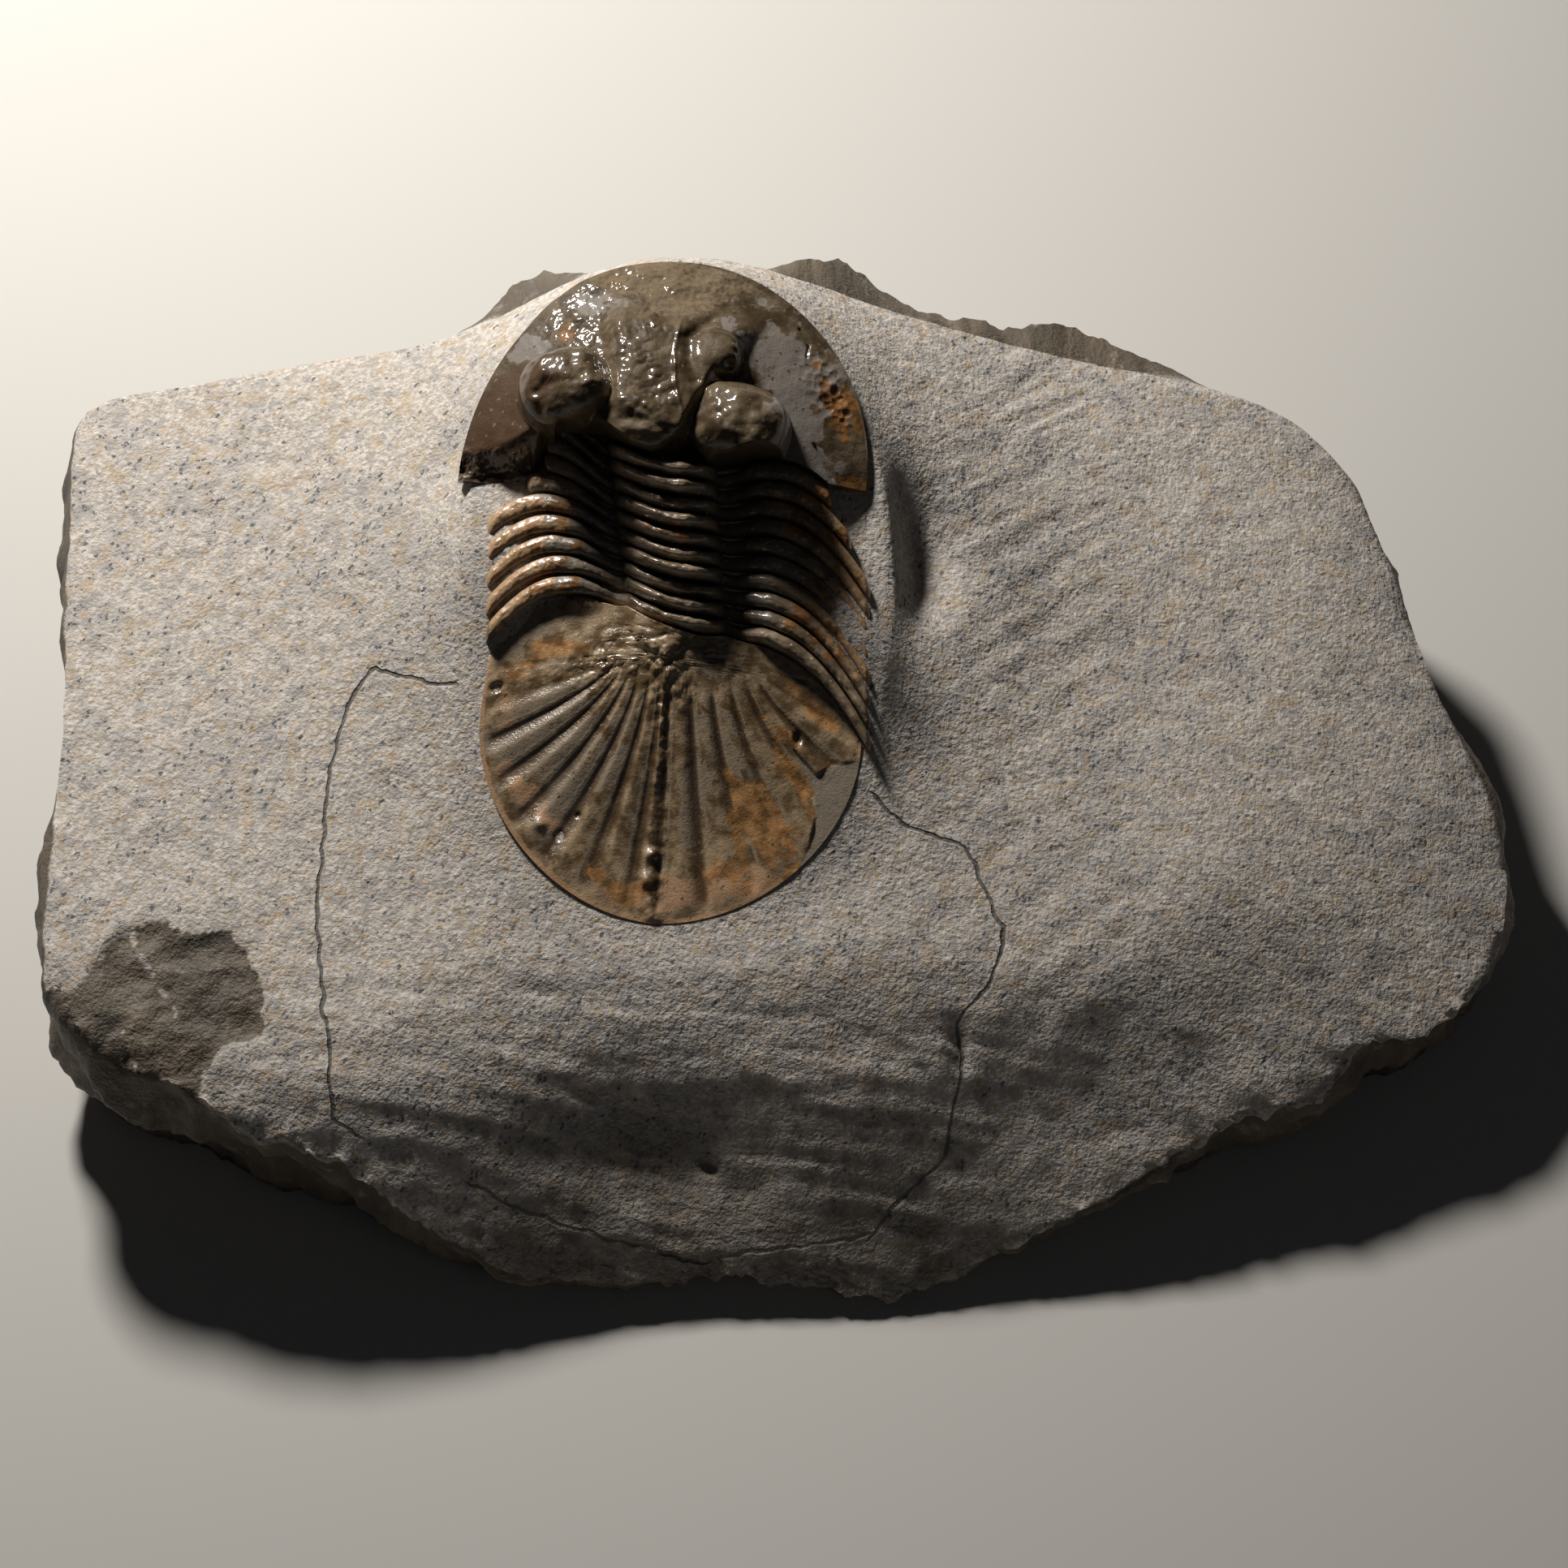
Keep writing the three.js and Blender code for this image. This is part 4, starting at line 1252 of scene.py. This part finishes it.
        near_rim = np.exp(-np.maximum(0, to_rim) / self.rim_fade)
        height = height - near_rim * np.maximum(0, 0.25 + 0.9 * ragged)
        x = x + outward[:, 0] * ragged * near_rim * self.rim_push
        y = y + outward[:, 1] * ragged * near_rim * self.rim_push
        edge = np.stack([x[-1], y[-1], height[-1]], -1)
        walls = self.walls(edge, outward)
        points = np.concatenate([np.stack([x, y, height], -1), walls])
        peak = np.array([*middle, float(height[0].mean())])
        masks = self.masks(points, len(x))
        return Skin(bed.upright(points), bed.upright(peak), bed.upright(np.array([*middle, 0.0])), masks)

    def ragged(self, x: Array, y: Array) -> Array:
        """The broken, uneven line of the rim, from -1 to 1, strongest along the front."""
        spots = np.stack([x, y], -1)
        chips = Grain(80).layers(spots, 3.6, 5, 0.7)
        return chips * lerp(0.6, 1.7, smoothstep(-y, 5, 25))

    def knob_reach(self, x: Array) -> Array:
        """How far the knobs of unworked rock stand out behind the back rim."""
        return sum(out * np.exp(-(((x - middle) / half) ** 2)) for middle, half, out in self.back_knobs)

    def walls(self, edge: Array, outward: Array) -> Array:
        """The broken outer faces, which bulge below the rim and draw in at the base.

        Args:
            edge: The rim's points.
            outward: The way out of the block at each.

        Returns:
            Rings of points from just below the rim to the base.
        """
        drop = np.linspace(0, 1, self.wall_rings + 1)[1:, None]
        angle = 2 * np.pi * np.arange(self.spokes)[None, :] / self.spokes
        facets = crease(7 * angle + 1) + crease(13 * angle + 5 * drop) + crease(19 * angle - 8 * drop)
        bulge = (self.wall_bulge + self.wall_facet * facets) * np.sin(np.pi * drop**0.7)
        knob = self.knob_reach(edge[:, 0]) * np.maximum(0, outward[:, 1]) * np.sin(np.pi * drop**0.32)
        z = edge[:, 2] * (1 - drop)
        spots = np.stack(np.broadcast_arrays(edge[:, 0], edge[:, 1], 1.5 * z), -1)
        shattered = Grain(90).layers(spots, 7.0, 5, 0.55)
        steps = 0.5 * np.abs(Grain(91).layers(spots, 3.5, 3))
        rough = (1.5 * shattered - steps) * np.sin(np.pi * np.minimum(1, drop * 3) / 2) * (1 - 0.4 * drop)
        lumpy = knob * (1 + self.knob_lumps * Grain(92).layers(spots, 2.4, 4, 0.6))
        bulge = bulge * np.minimum(1, edge[:, 2] / self.full_bulge_height)
        out = bulge + lumpy - self.base_inset * drop + rough
        return np.stack([edge[:, 0] + outward[:, 0] * out, edge[:, 1] + outward[:, 1] * out, z], -1)

    def masks(self, points: Array, ground_rings: int) -> dict[str, Array]:
        """The masks of unworked rock with painted shade on the front slope, and of the filled cracks."""
        x, y, _ = np.moveaxis(points, -1, 0)
        drift = Grain(95).layers(points, 3.0, 4, 0.65)
        behind = np.clip(0.6 * self.knob_reach(x) - 0.3, 0, 1) * (y > self.back_from)
        below = np.clip((np.arange(len(x)) - ground_rings + 1)[:, None] + behind, 0, 1)
        teeth = Grain(94).layers(points, 0.9, 3, 0.6)
        patch = smoothstep(self.natural_patch.depth(x, y) + 1.1 * drift + 0.7 * teeth, -0.4, 0.4)
        for streak in self.streaks:
            patch = patch * (1 - 0.8 * smoothstep(streak.ridge(x, y, 0.3) + teeth, 0.6, 1.1))
        # Painted shade: the front slope is darkened towards the front, about the middle, by mixing in the
        # dark rock colour.
        front_shade = smoothstep(-y, 15, 36) * (1 - smoothstep(np.abs(x - self.slope_shade_middle), 14, 38))
        front_shade = self.slope_shade_strength * front_shade * (1 + 0.35 * drift)
        waver = 0.55 * Grain(96).layers(points, 2.8, 4, 0.72)
        offsets = []
        shown = []
        for crack in self.cracks:
            offset, past = crack.offset(x, y)
            offsets.append(np.clip(offset, -6, 6) + waver)
            shown.append((1 - smoothstep(past, 0, 1.5)) * (1 - below))
        tones = [
            0.5 + 0.9 * Grain(97 + k).layers(points, size, 4, 0.6) for k, size in enumerate(self.tone_sizes)
        ]
        return {
            "rock_and_slope_shade": np.clip(np.maximum(np.maximum(patch, front_shade), below + 0.3 * drift * below), 0, 1),
            "crack_offset": np.stack(offsets, -1),
            "crack_shown": np.stack(shown, -1),
            "tones": np.clip(np.stack(tones, -1), 0, 1),
        }

    def build(self, bed: Bed, finish: "StoneFinish") -> None:
        """Makes and dresses the block."""
        settle(self.skin(bed).build("matrix_stone"), "matrix", finish.material)


class Board:
    """Lays out and wires the nodes of one material or group."""

    def __init__(self, tree: bpy.types.NodeTree) -> None:
        """Starts on a node tree."""
        self.tree = tree

    def fill(self, socket: Socket, value: object) -> None:
        """Wires a socket to another, or sets its value."""
        if isinstance(value, bpy.types.NodeSocket):
            self.tree.links.new(value, socket)
        elif isinstance(value, tuple) and len(value) == 3 and socket.type == "RGBA":
            socket.default_value = (*value, 1.0)
        else:
            socket.default_value = value

    def node(self, kind: str, values: dict[str | int, object], **settings: object) -> bpy.types.Node:
        """Adds a node.

        Args:
            kind: The node's type, without its usual prefix.
            values: What goes into its inputs, by name or number.
            settings: The node's own properties.

        Returns:
            The node.
        """
        made = self.tree.nodes.new(kind if kind.startswith("NodeGroup") else f"ShaderNode{kind}")
        for name, value in settings.items():
            setattr(made, name, value)
        for name, value in values.items():
            self.fill(made.inputs[name], value)
        return made

    def maths(self, operation: str, first: object, second: object = 0.0) -> Socket:
        """A sum on two values."""
        return self.node("Math", {0: first, 1: second}, operation=operation).outputs[0]

    def mix(self, share: object, first: object, second: object, blend: str = "MIX") -> Socket:
        """A mix of two colours."""
        made = self.node("Mix", {0: share, 6: first, 7: second}, data_type="RGBA", blend_type=blend)
        return made.outputs[2]

    def ramp(self, value: object, low: object, high: object, start: float = 0.0, end: float = 1.0) -> Socket:
        """An eased ramp from start at low to end at high."""
        values = {"Value": value, "From Min": low, "From Max": high, "To Min": start, "To Max": end}
        return self.node("MapRange", values, interpolation_type="SMOOTHSTEP").outputs[0]

    def mask(self, name: str) -> bpy.types.Node:
        """A mask that is stored on the mesh."""
        return self.node("Attribute", {}, attribute_name=name)

    def noise(self, position: Socket, scale: float, detail: float = 4.0, roughness: float = 0.55) -> Socket:
        """Soft noise from 0 to 1."""
        values = {"Vector": position, "Scale": scale, "Detail": detail, "Roughness": roughness}
        return self.node("TexNoise", values).outputs["Fac"]

    def in_sizes(self, given: dict[str, Socket]) -> Socket:
        """A group's position, measured in its size."""
        values = {0: given["Position"], 1: given["Size"]}
        return self.node("VectorMath", values, operation="DIVIDE").outputs[0]

    def millimetres(self) -> Socket:
        """The place on the object, in millimetres."""
        place = self.node("TexCoord", {}).outputs["Object"]
        return self.node("VectorMath", {0: place, 3: 1 / METRES_PER_MM}, operation="SCALE").outputs[0]


class Effect(Enum):
    """The surface effects that several finishes share."""

    MOTTLE = "mottle"
    SPECKS = "specks"
    GRIT = "grit"
    DUST = "dust"


class Effects:
    """Builds each shared effect once, as a node group."""

    VALUE = "NodeSocketFloat"
    COLOUR = "NodeSocketColor"
    VECTOR = "NodeSocketVector"

    def __init__(self) -> None:
        """Builds the groups."""
        self.groups = {
            Effect.MOTTLE: self.mottle(),
            Effect.SPECKS: self.specks(),
            Effect.GRIT: self.grit(),
            Effect.DUST: self.dust(),
        }

    def start(self, effect: Effect, takes: dict[str, str], gives: dict[str, str]) -> tuple[Board, dict, dict]:
        """Opens a new group.

        Args:
            effect: The effect that it holds.
            takes: Its inputs, as names and socket types.
            gives: Its outputs, as names and socket types.

        Returns:
            The group's board, its inner inputs and its inner outputs.
        """
        tree = bpy.data.node_groups.new(effect.value, "ShaderNodeTree")
        for name, kind in takes.items():
            tree.interface.new_socket(name=name, in_out="INPUT", socket_type=kind)
        for name, kind in gives.items():
            tree.interface.new_socket(name=name, in_out="OUTPUT", socket_type=kind)
        board = Board(tree)
        entry = board.node("NodeGroupInput", {})
        leave = board.node("NodeGroupOutput", {})
        return board, entry.outputs, leave.inputs

    def mottle(self) -> bpy.types.NodeTree:
        """Two colours in cloudy patches."""
        takes = {"Position": self.VECTOR, "Size": self.VALUE, "First": self.COLOUR, "Second": self.COLOUR}
        board, given, out = self.start(Effect.MOTTLE, takes, {"Colour": self.COLOUR, "Share": self.VALUE})
        scaled = board.in_sizes(given)
        share = board.ramp(board.noise(scaled, 1.0, 2.0, 0.6), 0.34, 0.66)
        board.fill(out["Colour"], board.mix(share, given["First"], given["Second"]))
        board.fill(out["Share"], share)
        return board.tree

    def specks(self) -> bpy.types.NodeTree:
        """Scattered grains of two other colours."""
        takes = {
            "Position": self.VECTOR, "Size": self.VALUE, "Colour": self.COLOUR,
            "First Amount": self.VALUE, "First Speck": self.COLOUR,
            "Second Amount": self.VALUE, "Second Speck": self.COLOUR,
        }
        board, given, out = self.start(Effect.SPECKS, takes, {"Colour": self.COLOUR})
        scaled = board.in_sizes(given)
        drift = board.maths("MULTIPLY", board.noise(scaled, 1.4, 1.0), 1.6)
        moved = board.node("VectorMath", {0: scaled, 1: drift}, operation="ADD").outputs[0]
        cells = board.node("TexVoronoi", {"Vector": moved, "Scale": 1.0})
        draw = board.node("SeparateColor", {0: cells.outputs["Color"]}).outputs[0]
        body = board.ramp(cells.outputs["Distance"], 0.3, 0.5, 1.0, 0.0)
        first = board.maths("MULTIPLY", board.maths("LESS_THAN", draw, given["First Amount"]), body)
        rest = board.maths("SUBTRACT", 1.0, given["Second Amount"])
        second = board.maths("MULTIPLY", board.maths("GREATER_THAN", draw, rest), body)
        colour = board.mix(first, given["Colour"], given["First Speck"])
        board.fill(out["Colour"], board.mix(second, colour, given["Second Speck"]))
        return board.tree

    def grit(self) -> bpy.types.NodeTree:
        """A gritty height."""
        board, given, out = self.start(
            Effect.GRIT, {"Position": self.VECTOR, "Size": self.VALUE}, {"Height": self.VALUE}
        )
        scaled = board.in_sizes(given)
        cells = board.node("TexVoronoi", {"Vector": scaled, "Scale": 1.0}).outputs["Distance"]
        soft = board.noise(scaled, 0.6, 3.0, 0.72)
        board.fill(out["Height"], board.maths("SUBTRACT", soft, board.maths("MULTIPLY", cells, 0.2)))
        return board.tree

    def dust(self) -> bpy.types.NodeTree:
        """Rock dust that clings where a mask says, with a broken edge."""
        takes = {
            "Position": self.VECTOR, "Size": self.VALUE, "Cover": self.VALUE,
            "Colour": self.COLOUR, "Dust": self.COLOUR,
        }
        board, given, out = self.start(Effect.DUST, takes, {"Colour": self.COLOUR, "Cover": self.VALUE})
        scaled = board.in_sizes(given)
        clumps = board.noise(scaled, 1.0, 2.0, 0.7)
        raised = board.maths("ADD", board.maths("MULTIPLY", clumps, 0.9), given["Cover"])
        cover = board.maths("MULTIPLY", board.ramp(raised, 0.75, 1.25), board.ramp(given["Cover"], 0.02, 0.2))
        board.fill(out["Colour"], board.mix(cover, given["Colour"], given["Dust"]))
        board.fill(out["Cover"], cover)
        return board.tree

    def place(self, board: Board, effect: Effect, values: dict[str, object]) -> bpy.types.bpy_prop_collection:
        """Puts an effect into a material.

        Args:
            board: The material's board.
            effect: Which effect.
            values: What goes into it.

        Returns:
            The effect's outputs.
        """
        made = board.tree.nodes.new("ShaderNodeGroup")
        made.node_tree = self.groups[effect]
        for name, value in values.items():
            board.fill(made.inputs[name], value)
        return made.outputs


def fresh_material(name: str) -> tuple[bpy.types.Material, Board, bpy.types.Node]:
    """Makes an empty node material.

    Args:
        name: The material's name.

    Returns:
        The material, its board and its surface shader.
    """
    material = bpy.data.materials.new(name)
    material.use_nodes = True
    board = Board(material.node_tree)
    return material, board, material.node_tree.nodes["Principled BSDF"]


@dataclass(frozen=True)
class ShellFinish:
    """Petrified shell: dark, lacquered, stained by iron, with slate-blue and dusty places, and painted shade
    in its grooves, furrows and recesses.
    """

    name: str
    effects: Effects
    dark: Colour = (0.115, 0.085, 0.056)
    light: Colour = (0.220, 0.168, 0.115)
    slate: Colour = (0.175, 0.148, 0.120)
    rust: Colour = (0.330, 0.150, 0.042)
    ruddy: Colour = (0.080, 0.043, 0.023)
    shade_umber: Colour = (0.022, 0.015, 0.009)
    dust: Colour = (0.200, 0.152, 0.098)
    rust_depth: float = 0.4
    stain: float = 0.85
    mottle_size: float = 2.2
    gloss: float = 0.44
    specular: float = 0.2
    coat: float = 0.7
    coat_roughness: float = 0.07
    grain: float = 0.3
    grain_size: float = 0.16
    grain_depth: float = 0.00015
    speck_size: float = 0.32
    speck_share: float = 0.05
    dust_size: float = 0.5
    dulling: float = 0.5
    smear: float = 0.14

    @property
    def material(self) -> bpy.types.Material:
        """The finish's material, made on first use."""
        return bpy.data.materials.get(self.name) or self.make()

    def make(self) -> bpy.types.Material:
        """Builds the material."""
        material, board, shader = fresh_material(self.name)
        place = board.millimetres()
        base = self.effects.place(
            board, Effect.MOTTLE,
            {"Position": place, "Size": self.mottle_size, "First": self.dark, "Second": self.light},
        )
        colour = base["Colour"]
        rusty = board.mix(base["Share"], tuple(self.rust_depth * part for part in self.rust), self.rust)
        # Painted shade: the umber layer darkens grooves, furrows and recesses where shade falls, at the
        # stains' strength.
        layers = (("slate", self.slate), ("ruddy", self.ruddy), ("recess_shade", self.shade_umber), ("rust", rusty))
        for mask, tint in layers:
            share = board.ramp(board.mask(mask).outputs["Fac"], 0.15, 0.85, 0.0, self.stain)
            colour = board.mix(share, colour, tint)
        fine = self.effects.place(
            board, Effect.SPECKS,
            {
                "Position": place, "Size": self.speck_size, "Colour": colour,
                "First Amount": self.speck_share, "First Speck": self.dark,
                "Second Amount": self.speck_share, "Second Speck": self.dust,
            },
        )
        dusted = self.effects.place(
            board, Effect.DUST,
            {
                "Position": place, "Size": self.dust_size, "Cover": board.mask("dust").outputs["Fac"],
                "Colour": fine["Colour"], "Dust": self.dust,
            },
        )
        grit = self.effects.place(board, Effect.GRIT, {"Position": place, "Size": self.grain_size})
        board.fill(shader.inputs["Base Color"], dusted["Colour"])
        dull = board.maths("MULTIPLY", dusted["Cover"], self.dulling)
        smear = board.maths("MULTIPLY", base["Share"], self.smear)
        rough = board.maths("ADD", board.maths("ADD", dull, smear), self.gloss)
        board.fill(shader.inputs["Roughness"], rough)
        clean = board.maths("SUBTRACT", 1.0, dusted["Cover"])
        board.fill(shader.inputs["Coat Weight"], board.maths("MULTIPLY", clean, self.coat))
        shader.inputs["Coat Roughness"].default_value = self.coat_roughness
        shader.inputs["Specular IOR Level"].default_value = self.specular
        relief = {"Height": grit["Height"], "Strength": self.grain, "Distance": self.grain_depth}
        bump = board.node("Bump", relief)
        board.fill(shader.inputs["Normal"], bump.outputs[0])
        return material


def head_finish(effects: Effects) -> ShellFinish:
    """The head's shell, the darkest."""
    return ShellFinish(
        "head_shell", effects, dark=(0.062, 0.042, 0.022), light=(0.135, 0.099, 0.059),
        slate=(0.235, 0.210, 0.188), shade_umber=(0.065, 0.045, 0.026),
    )


def thorax_finish(effects: Effects) -> ShellFinish:
    """The thorax's shell, with tan finger tips and pale calcite in its furrows."""
    return ShellFinish(
        "thorax_shell", effects, dark=(0.140, 0.102, 0.064), light=(0.280, 0.210, 0.140),
        ruddy=(0.500, 0.315, 0.170), dust=(0.420, 0.360, 0.280), specular=0.5, gloss=0.28,
    )


def tail_finish(effects: Effects) -> ShellFinish:
    """The tail's shell, the palest and smoothest."""
    return ShellFinish(
        "tail_shell", effects, dark=(0.140, 0.090, 0.044), light=(0.395, 0.288, 0.176),
        slate=(0.320, 0.256, 0.188), rust=(0.530, 0.270, 0.100), ruddy=(0.530, 0.325, 0.190),
        shade_umber=(0.060, 0.034, 0.015), coat=0.85, dust=(0.225, 0.185, 0.140), mottle_size=1.5, grain=0.4,
        specular=0.6, gloss=0.22,
    )


@dataclass(frozen=True)
class StoneFinish:
    """Limestone: pale and speckled where it was worked, dark and brown where it is unworked, and darkened as
    painted shade on the front slope.
    """

    effects: Effects
    name: str = "worked_limestone"
    cream: Colour = (0.475, 0.423, 0.366)
    grey: Colour = (0.43, 0.41, 0.40)
    bright: Colour = (0.67, 0.63, 0.59)
    rock_and_slope_shade_dark: Colour = (0.060, 0.050, 0.038)
    rock_and_slope_shade_light: Colour = (0.165, 0.130, 0.092)
    natural_dust: Colour = (0.34, 0.30, 0.24)
    crack: Colour = (0.16, 0.15, 0.14)
    crack_half: float = 0.2
    tan: Colour = (0.50, 0.37, 0.23)
    ash: Colour = (0.30, 0.30, 0.31)
    blue: Colour = (0.14, 0.143, 0.152)
    fleck_size: float = 0.42
    blotch_size: float = 1.1
    speck_size: float = 0.46
    dust_size: float = 0.9
    grit_size: float = 0.34
    grit_strength: float = 0.7
    grit_depth: float = 0.00032
    crack_depth: float = 0.8
    worked_roughness: float = 0.86
    natural_roughness: float = 0.6

    @property
    def material(self) -> bpy.types.Material:
        """The finish's material, made on first use."""
        return bpy.data.materials.get(self.name) or self.make()

    def cracks(self, board: Board) -> Socket:
        """The dark hairlines of the filled cracks."""
        offset = board.node("SeparateXYZ", {0: board.mask("crack_offset").outputs["Vector"]})
        shown = board.node("SeparateXYZ", {0: board.mask("crack_shown").outputs["Vector"]})
        total = None
        for axis in range(3):
            off = board.maths("ABSOLUTE", offset.outputs[axis])
            line = board.ramp(off, 0.35 * self.crack_half, self.crack_half, 1.0, 0.0)
            line = board.maths("MULTIPLY", line, shown.outputs[axis])
            total = line if total is None else board.maths("MAXIMUM", total, line)
        return total

    def make(self) -> bpy.types.Material:
        """Builds the material."""
        material, board, shader = fresh_material(self.name)
        place = board.millimetres()
        tones = board.node("SeparateXYZ", {0: board.mask("tones").outputs["Vector"]}).outputs
        fleck = self.effects.place(
            board, Effect.MOTTLE,
            {"Position": place, "Size": self.fleck_size, "First": self.cream, "Second": self.bright},
        )
        broad = board.maths("MULTIPLY", tones[0], 0.45)
        cloud = board.maths("ADD", broad, board.maths("MULTIPLY", tones[1], 0.55))
        bluish = board.ramp(cloud, 0.4, 0.75)
        colour = board.mix(board.maths("MULTIPLY", bluish, 0.5), fleck["Colour"], self.grey)
        blotch = self.effects.place(
            board, Effect.MOTTLE,
            {"Position": place, "Size": self.blotch_size, "First": colour, "Second": self.ash},
        )
        colour = board.mix(board.ramp(blotch["Share"], 0.55, 1.0, 0.0, 0.5), colour, self.ash)
        colour = board.mix(board.ramp(tones[2], 0.6, 0.9, 0.0, 0.45), colour, self.tan)
        clustered = board.maths("MULTIPLY", blotch["Share"], bluish)
        colour = self.effects.place(
            board, Effect.SPECKS,
            {
                "Position": place, "Size": self.speck_size, "Colour": colour,
                "First Amount": board.maths("ADD", board.maths("MULTIPLY", clustered, 0.45), 0.04),
                "First Speck": self.blue, "Second Amount": 0.11, "Second Speck": self.tan,
            },
        )["Colour"]
        crack = self.cracks(board)
        colour = board.mix(crack, colour, self.crack)
        # The dark rock colours also paint the shade on the front slope.
        rock = board.mix(tones[1], self.rock_and_slope_shade_dark, self.rock_and_slope_shade_light)
        rock = self.effects.place(
            board, Effect.DUST,
            {
                "Position": place, "Size": self.dust_size, "Cover": board.maths("MULTIPLY", tones[2], 0.5),
                "Colour": rock, "Dust": self.natural_dust,
            },
        )["Colour"]
        rock_and_slope_shade = board.ramp(board.mask("rock_and_slope_shade").outputs["Fac"], 0.25, 0.75)
        board.fill(shader.inputs["Base Color"], board.mix(rock_and_slope_shade, colour, rock))
        rough = board.ramp(rock_and_slope_shade, 0.0, 1.0, self.worked_roughness, self.natural_roughness)
        board.fill(shader.inputs["Roughness"], rough)
        grit = self.effects.place(board, Effect.GRIT, {"Position": place, "Size": self.grit_size})
        height = board.maths("SUBTRACT", grit["Height"], board.maths("MULTIPLY", crack, self.crack_depth))
        relief = {"Height": height, "Strength": self.grit_strength, "Distance": self.grit_depth}
        bump = board.node("Bump", relief)
        board.fill(shader.inputs["Normal"], bump.outputs[0])
        return material


def settle(piece: bpy.types.Object, node: str, material: bpy.types.Material) -> None:
    """Dresses a piece, lets it ride on the fossil's one body and stand for its solid.

    Args:
        piece: The new piece.
        node: The solid that it stands for.
        material: Its finish.
    """
    piece.data.materials.append(material)
    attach(piece, "root")
    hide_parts(node)
    LOG.info("%s stands for %s with %d faces", piece.name, node, len(piece.data.polygons))


@dataclass(frozen=True)
class Lamp:
    """A soft studio light, in metres and watts."""

    name: str
    place: tuple[float, float, float]
    size: float
    power: float
    colour: Colour = (1.0, 1.0, 1.0)


@dataclass(frozen=True)
class Studio:
    """A pale floor, soft light and the camera, which looks down on the fossil from the front."""

    target: tuple[float, float, float] = (0.000686, -0.004494, 0.020)
    distance: float = 0.36
    elevation: float = math.radians(60)
    lens: float = 100.0
    sensor: float = 36.0
    nearest: float = 0.01
    floor_half: float = 2.0
    floor_colour: Colour = (0.62, 0.61, 0.59)
    floor_roughness: float = 0.9
    sky: Colour = (0.80, 0.82, 0.86)
    sky_strength: float = 0.012
    lamps: tuple[Lamp, ...] = (
        Lamp("key_light", (-0.113, 0.197, 0.205), 0.05, 1.12, (1.0, 0.95, 0.88)),
        Lamp("fill_light", (0.35, -0.55, 0.75), 0.6, 0.08, (0.92, 0.95, 1.0)),
    )

    def floor(self) -> None:
        """Lays the floor under the block."""
        half = self.floor_half
        mesh = bpy.data.meshes.new("floor")
        corners = [(-half, -half, 0), (half, -half, 0), (half, half, 0), (-half, half, 0)]
        mesh.from_pydata(corners, [], [(0, 1, 2, 3)])
        floor = bpy.data.objects.new("floor", mesh)
        material, _, shader = fresh_material("pale_floor")
        shader.inputs["Base Color"].default_value = (*self.floor_colour, 1.0)
        shader.inputs["Roughness"].default_value = self.floor_roughness
        mesh.materials.append(material)
        bpy.context.scene.collection.objects.link(floor)

    def light(self) -> None:
        """Hangs the lamps, all turned to the fossil, and sets the even light of the room."""
        for lamp in self.lamps:
            data = bpy.data.lights.new(lamp.name, "AREA")
            data.shape = "DISK"
            data.size = lamp.size
            data.energy = lamp.power
            data.color = lamp.colour
            made = bpy.data.objects.new(lamp.name, data)
            made.location = lamp.place
            made.rotation_euler = (Vector(self.target) - made.location).to_track_quat("-Z", "Y").to_euler()
            bpy.context.scene.collection.objects.link(made)
        world = bpy.data.worlds.new("room")
        world.use_nodes = True
        background = world.node_tree.nodes["Background"]
        background.inputs["Color"].default_value = (*self.sky, 1.0)
        background.inputs["Strength"].default_value = self.sky_strength
        bpy.context.scene.world = world

    def camera(self) -> None:
        """Sets up the camera."""
        data = bpy.data.cameras.new("camera")
        data.lens = self.lens
        data.sensor_width = self.sensor
        data.clip_start = self.nearest
        camera = bpy.data.objects.new("camera", data)
        back = Vector((0, -math.cos(self.elevation), math.sin(self.elevation)))
        camera.location = Vector(self.target) + back * self.distance
        camera.rotation_euler = (-back).to_track_quat("-Z", "Y").to_euler()
        bpy.context.scene.collection.objects.link(camera)
        bpy.context.scene.camera = camera

    def build(self) -> None:
        """Sets up the floor, the lights, the camera and plain picture tones."""
        self.floor()
        self.light()
        self.camera()
        bpy.context.scene.view_settings.view_transform = "Standard"


def main() -> None:
    """Builds the fossil's pieces and the studio."""
    logging.basicConfig(level=logging.INFO, format="%(name)s: %(message)s")
    bed = Bed()
    thorax = Thorax()
    effects = Effects()
    Studio().build()
    MatrixBlock().build(bed, StoneFinish(effects))
    HeadShield().build(bed, thorax, head_finish(effects))
    thorax.build(bed, thorax_finish(effects))
    TailShield().build(bed, thorax, tail_finish(effects))


if __name__ == "__main__":
    main()
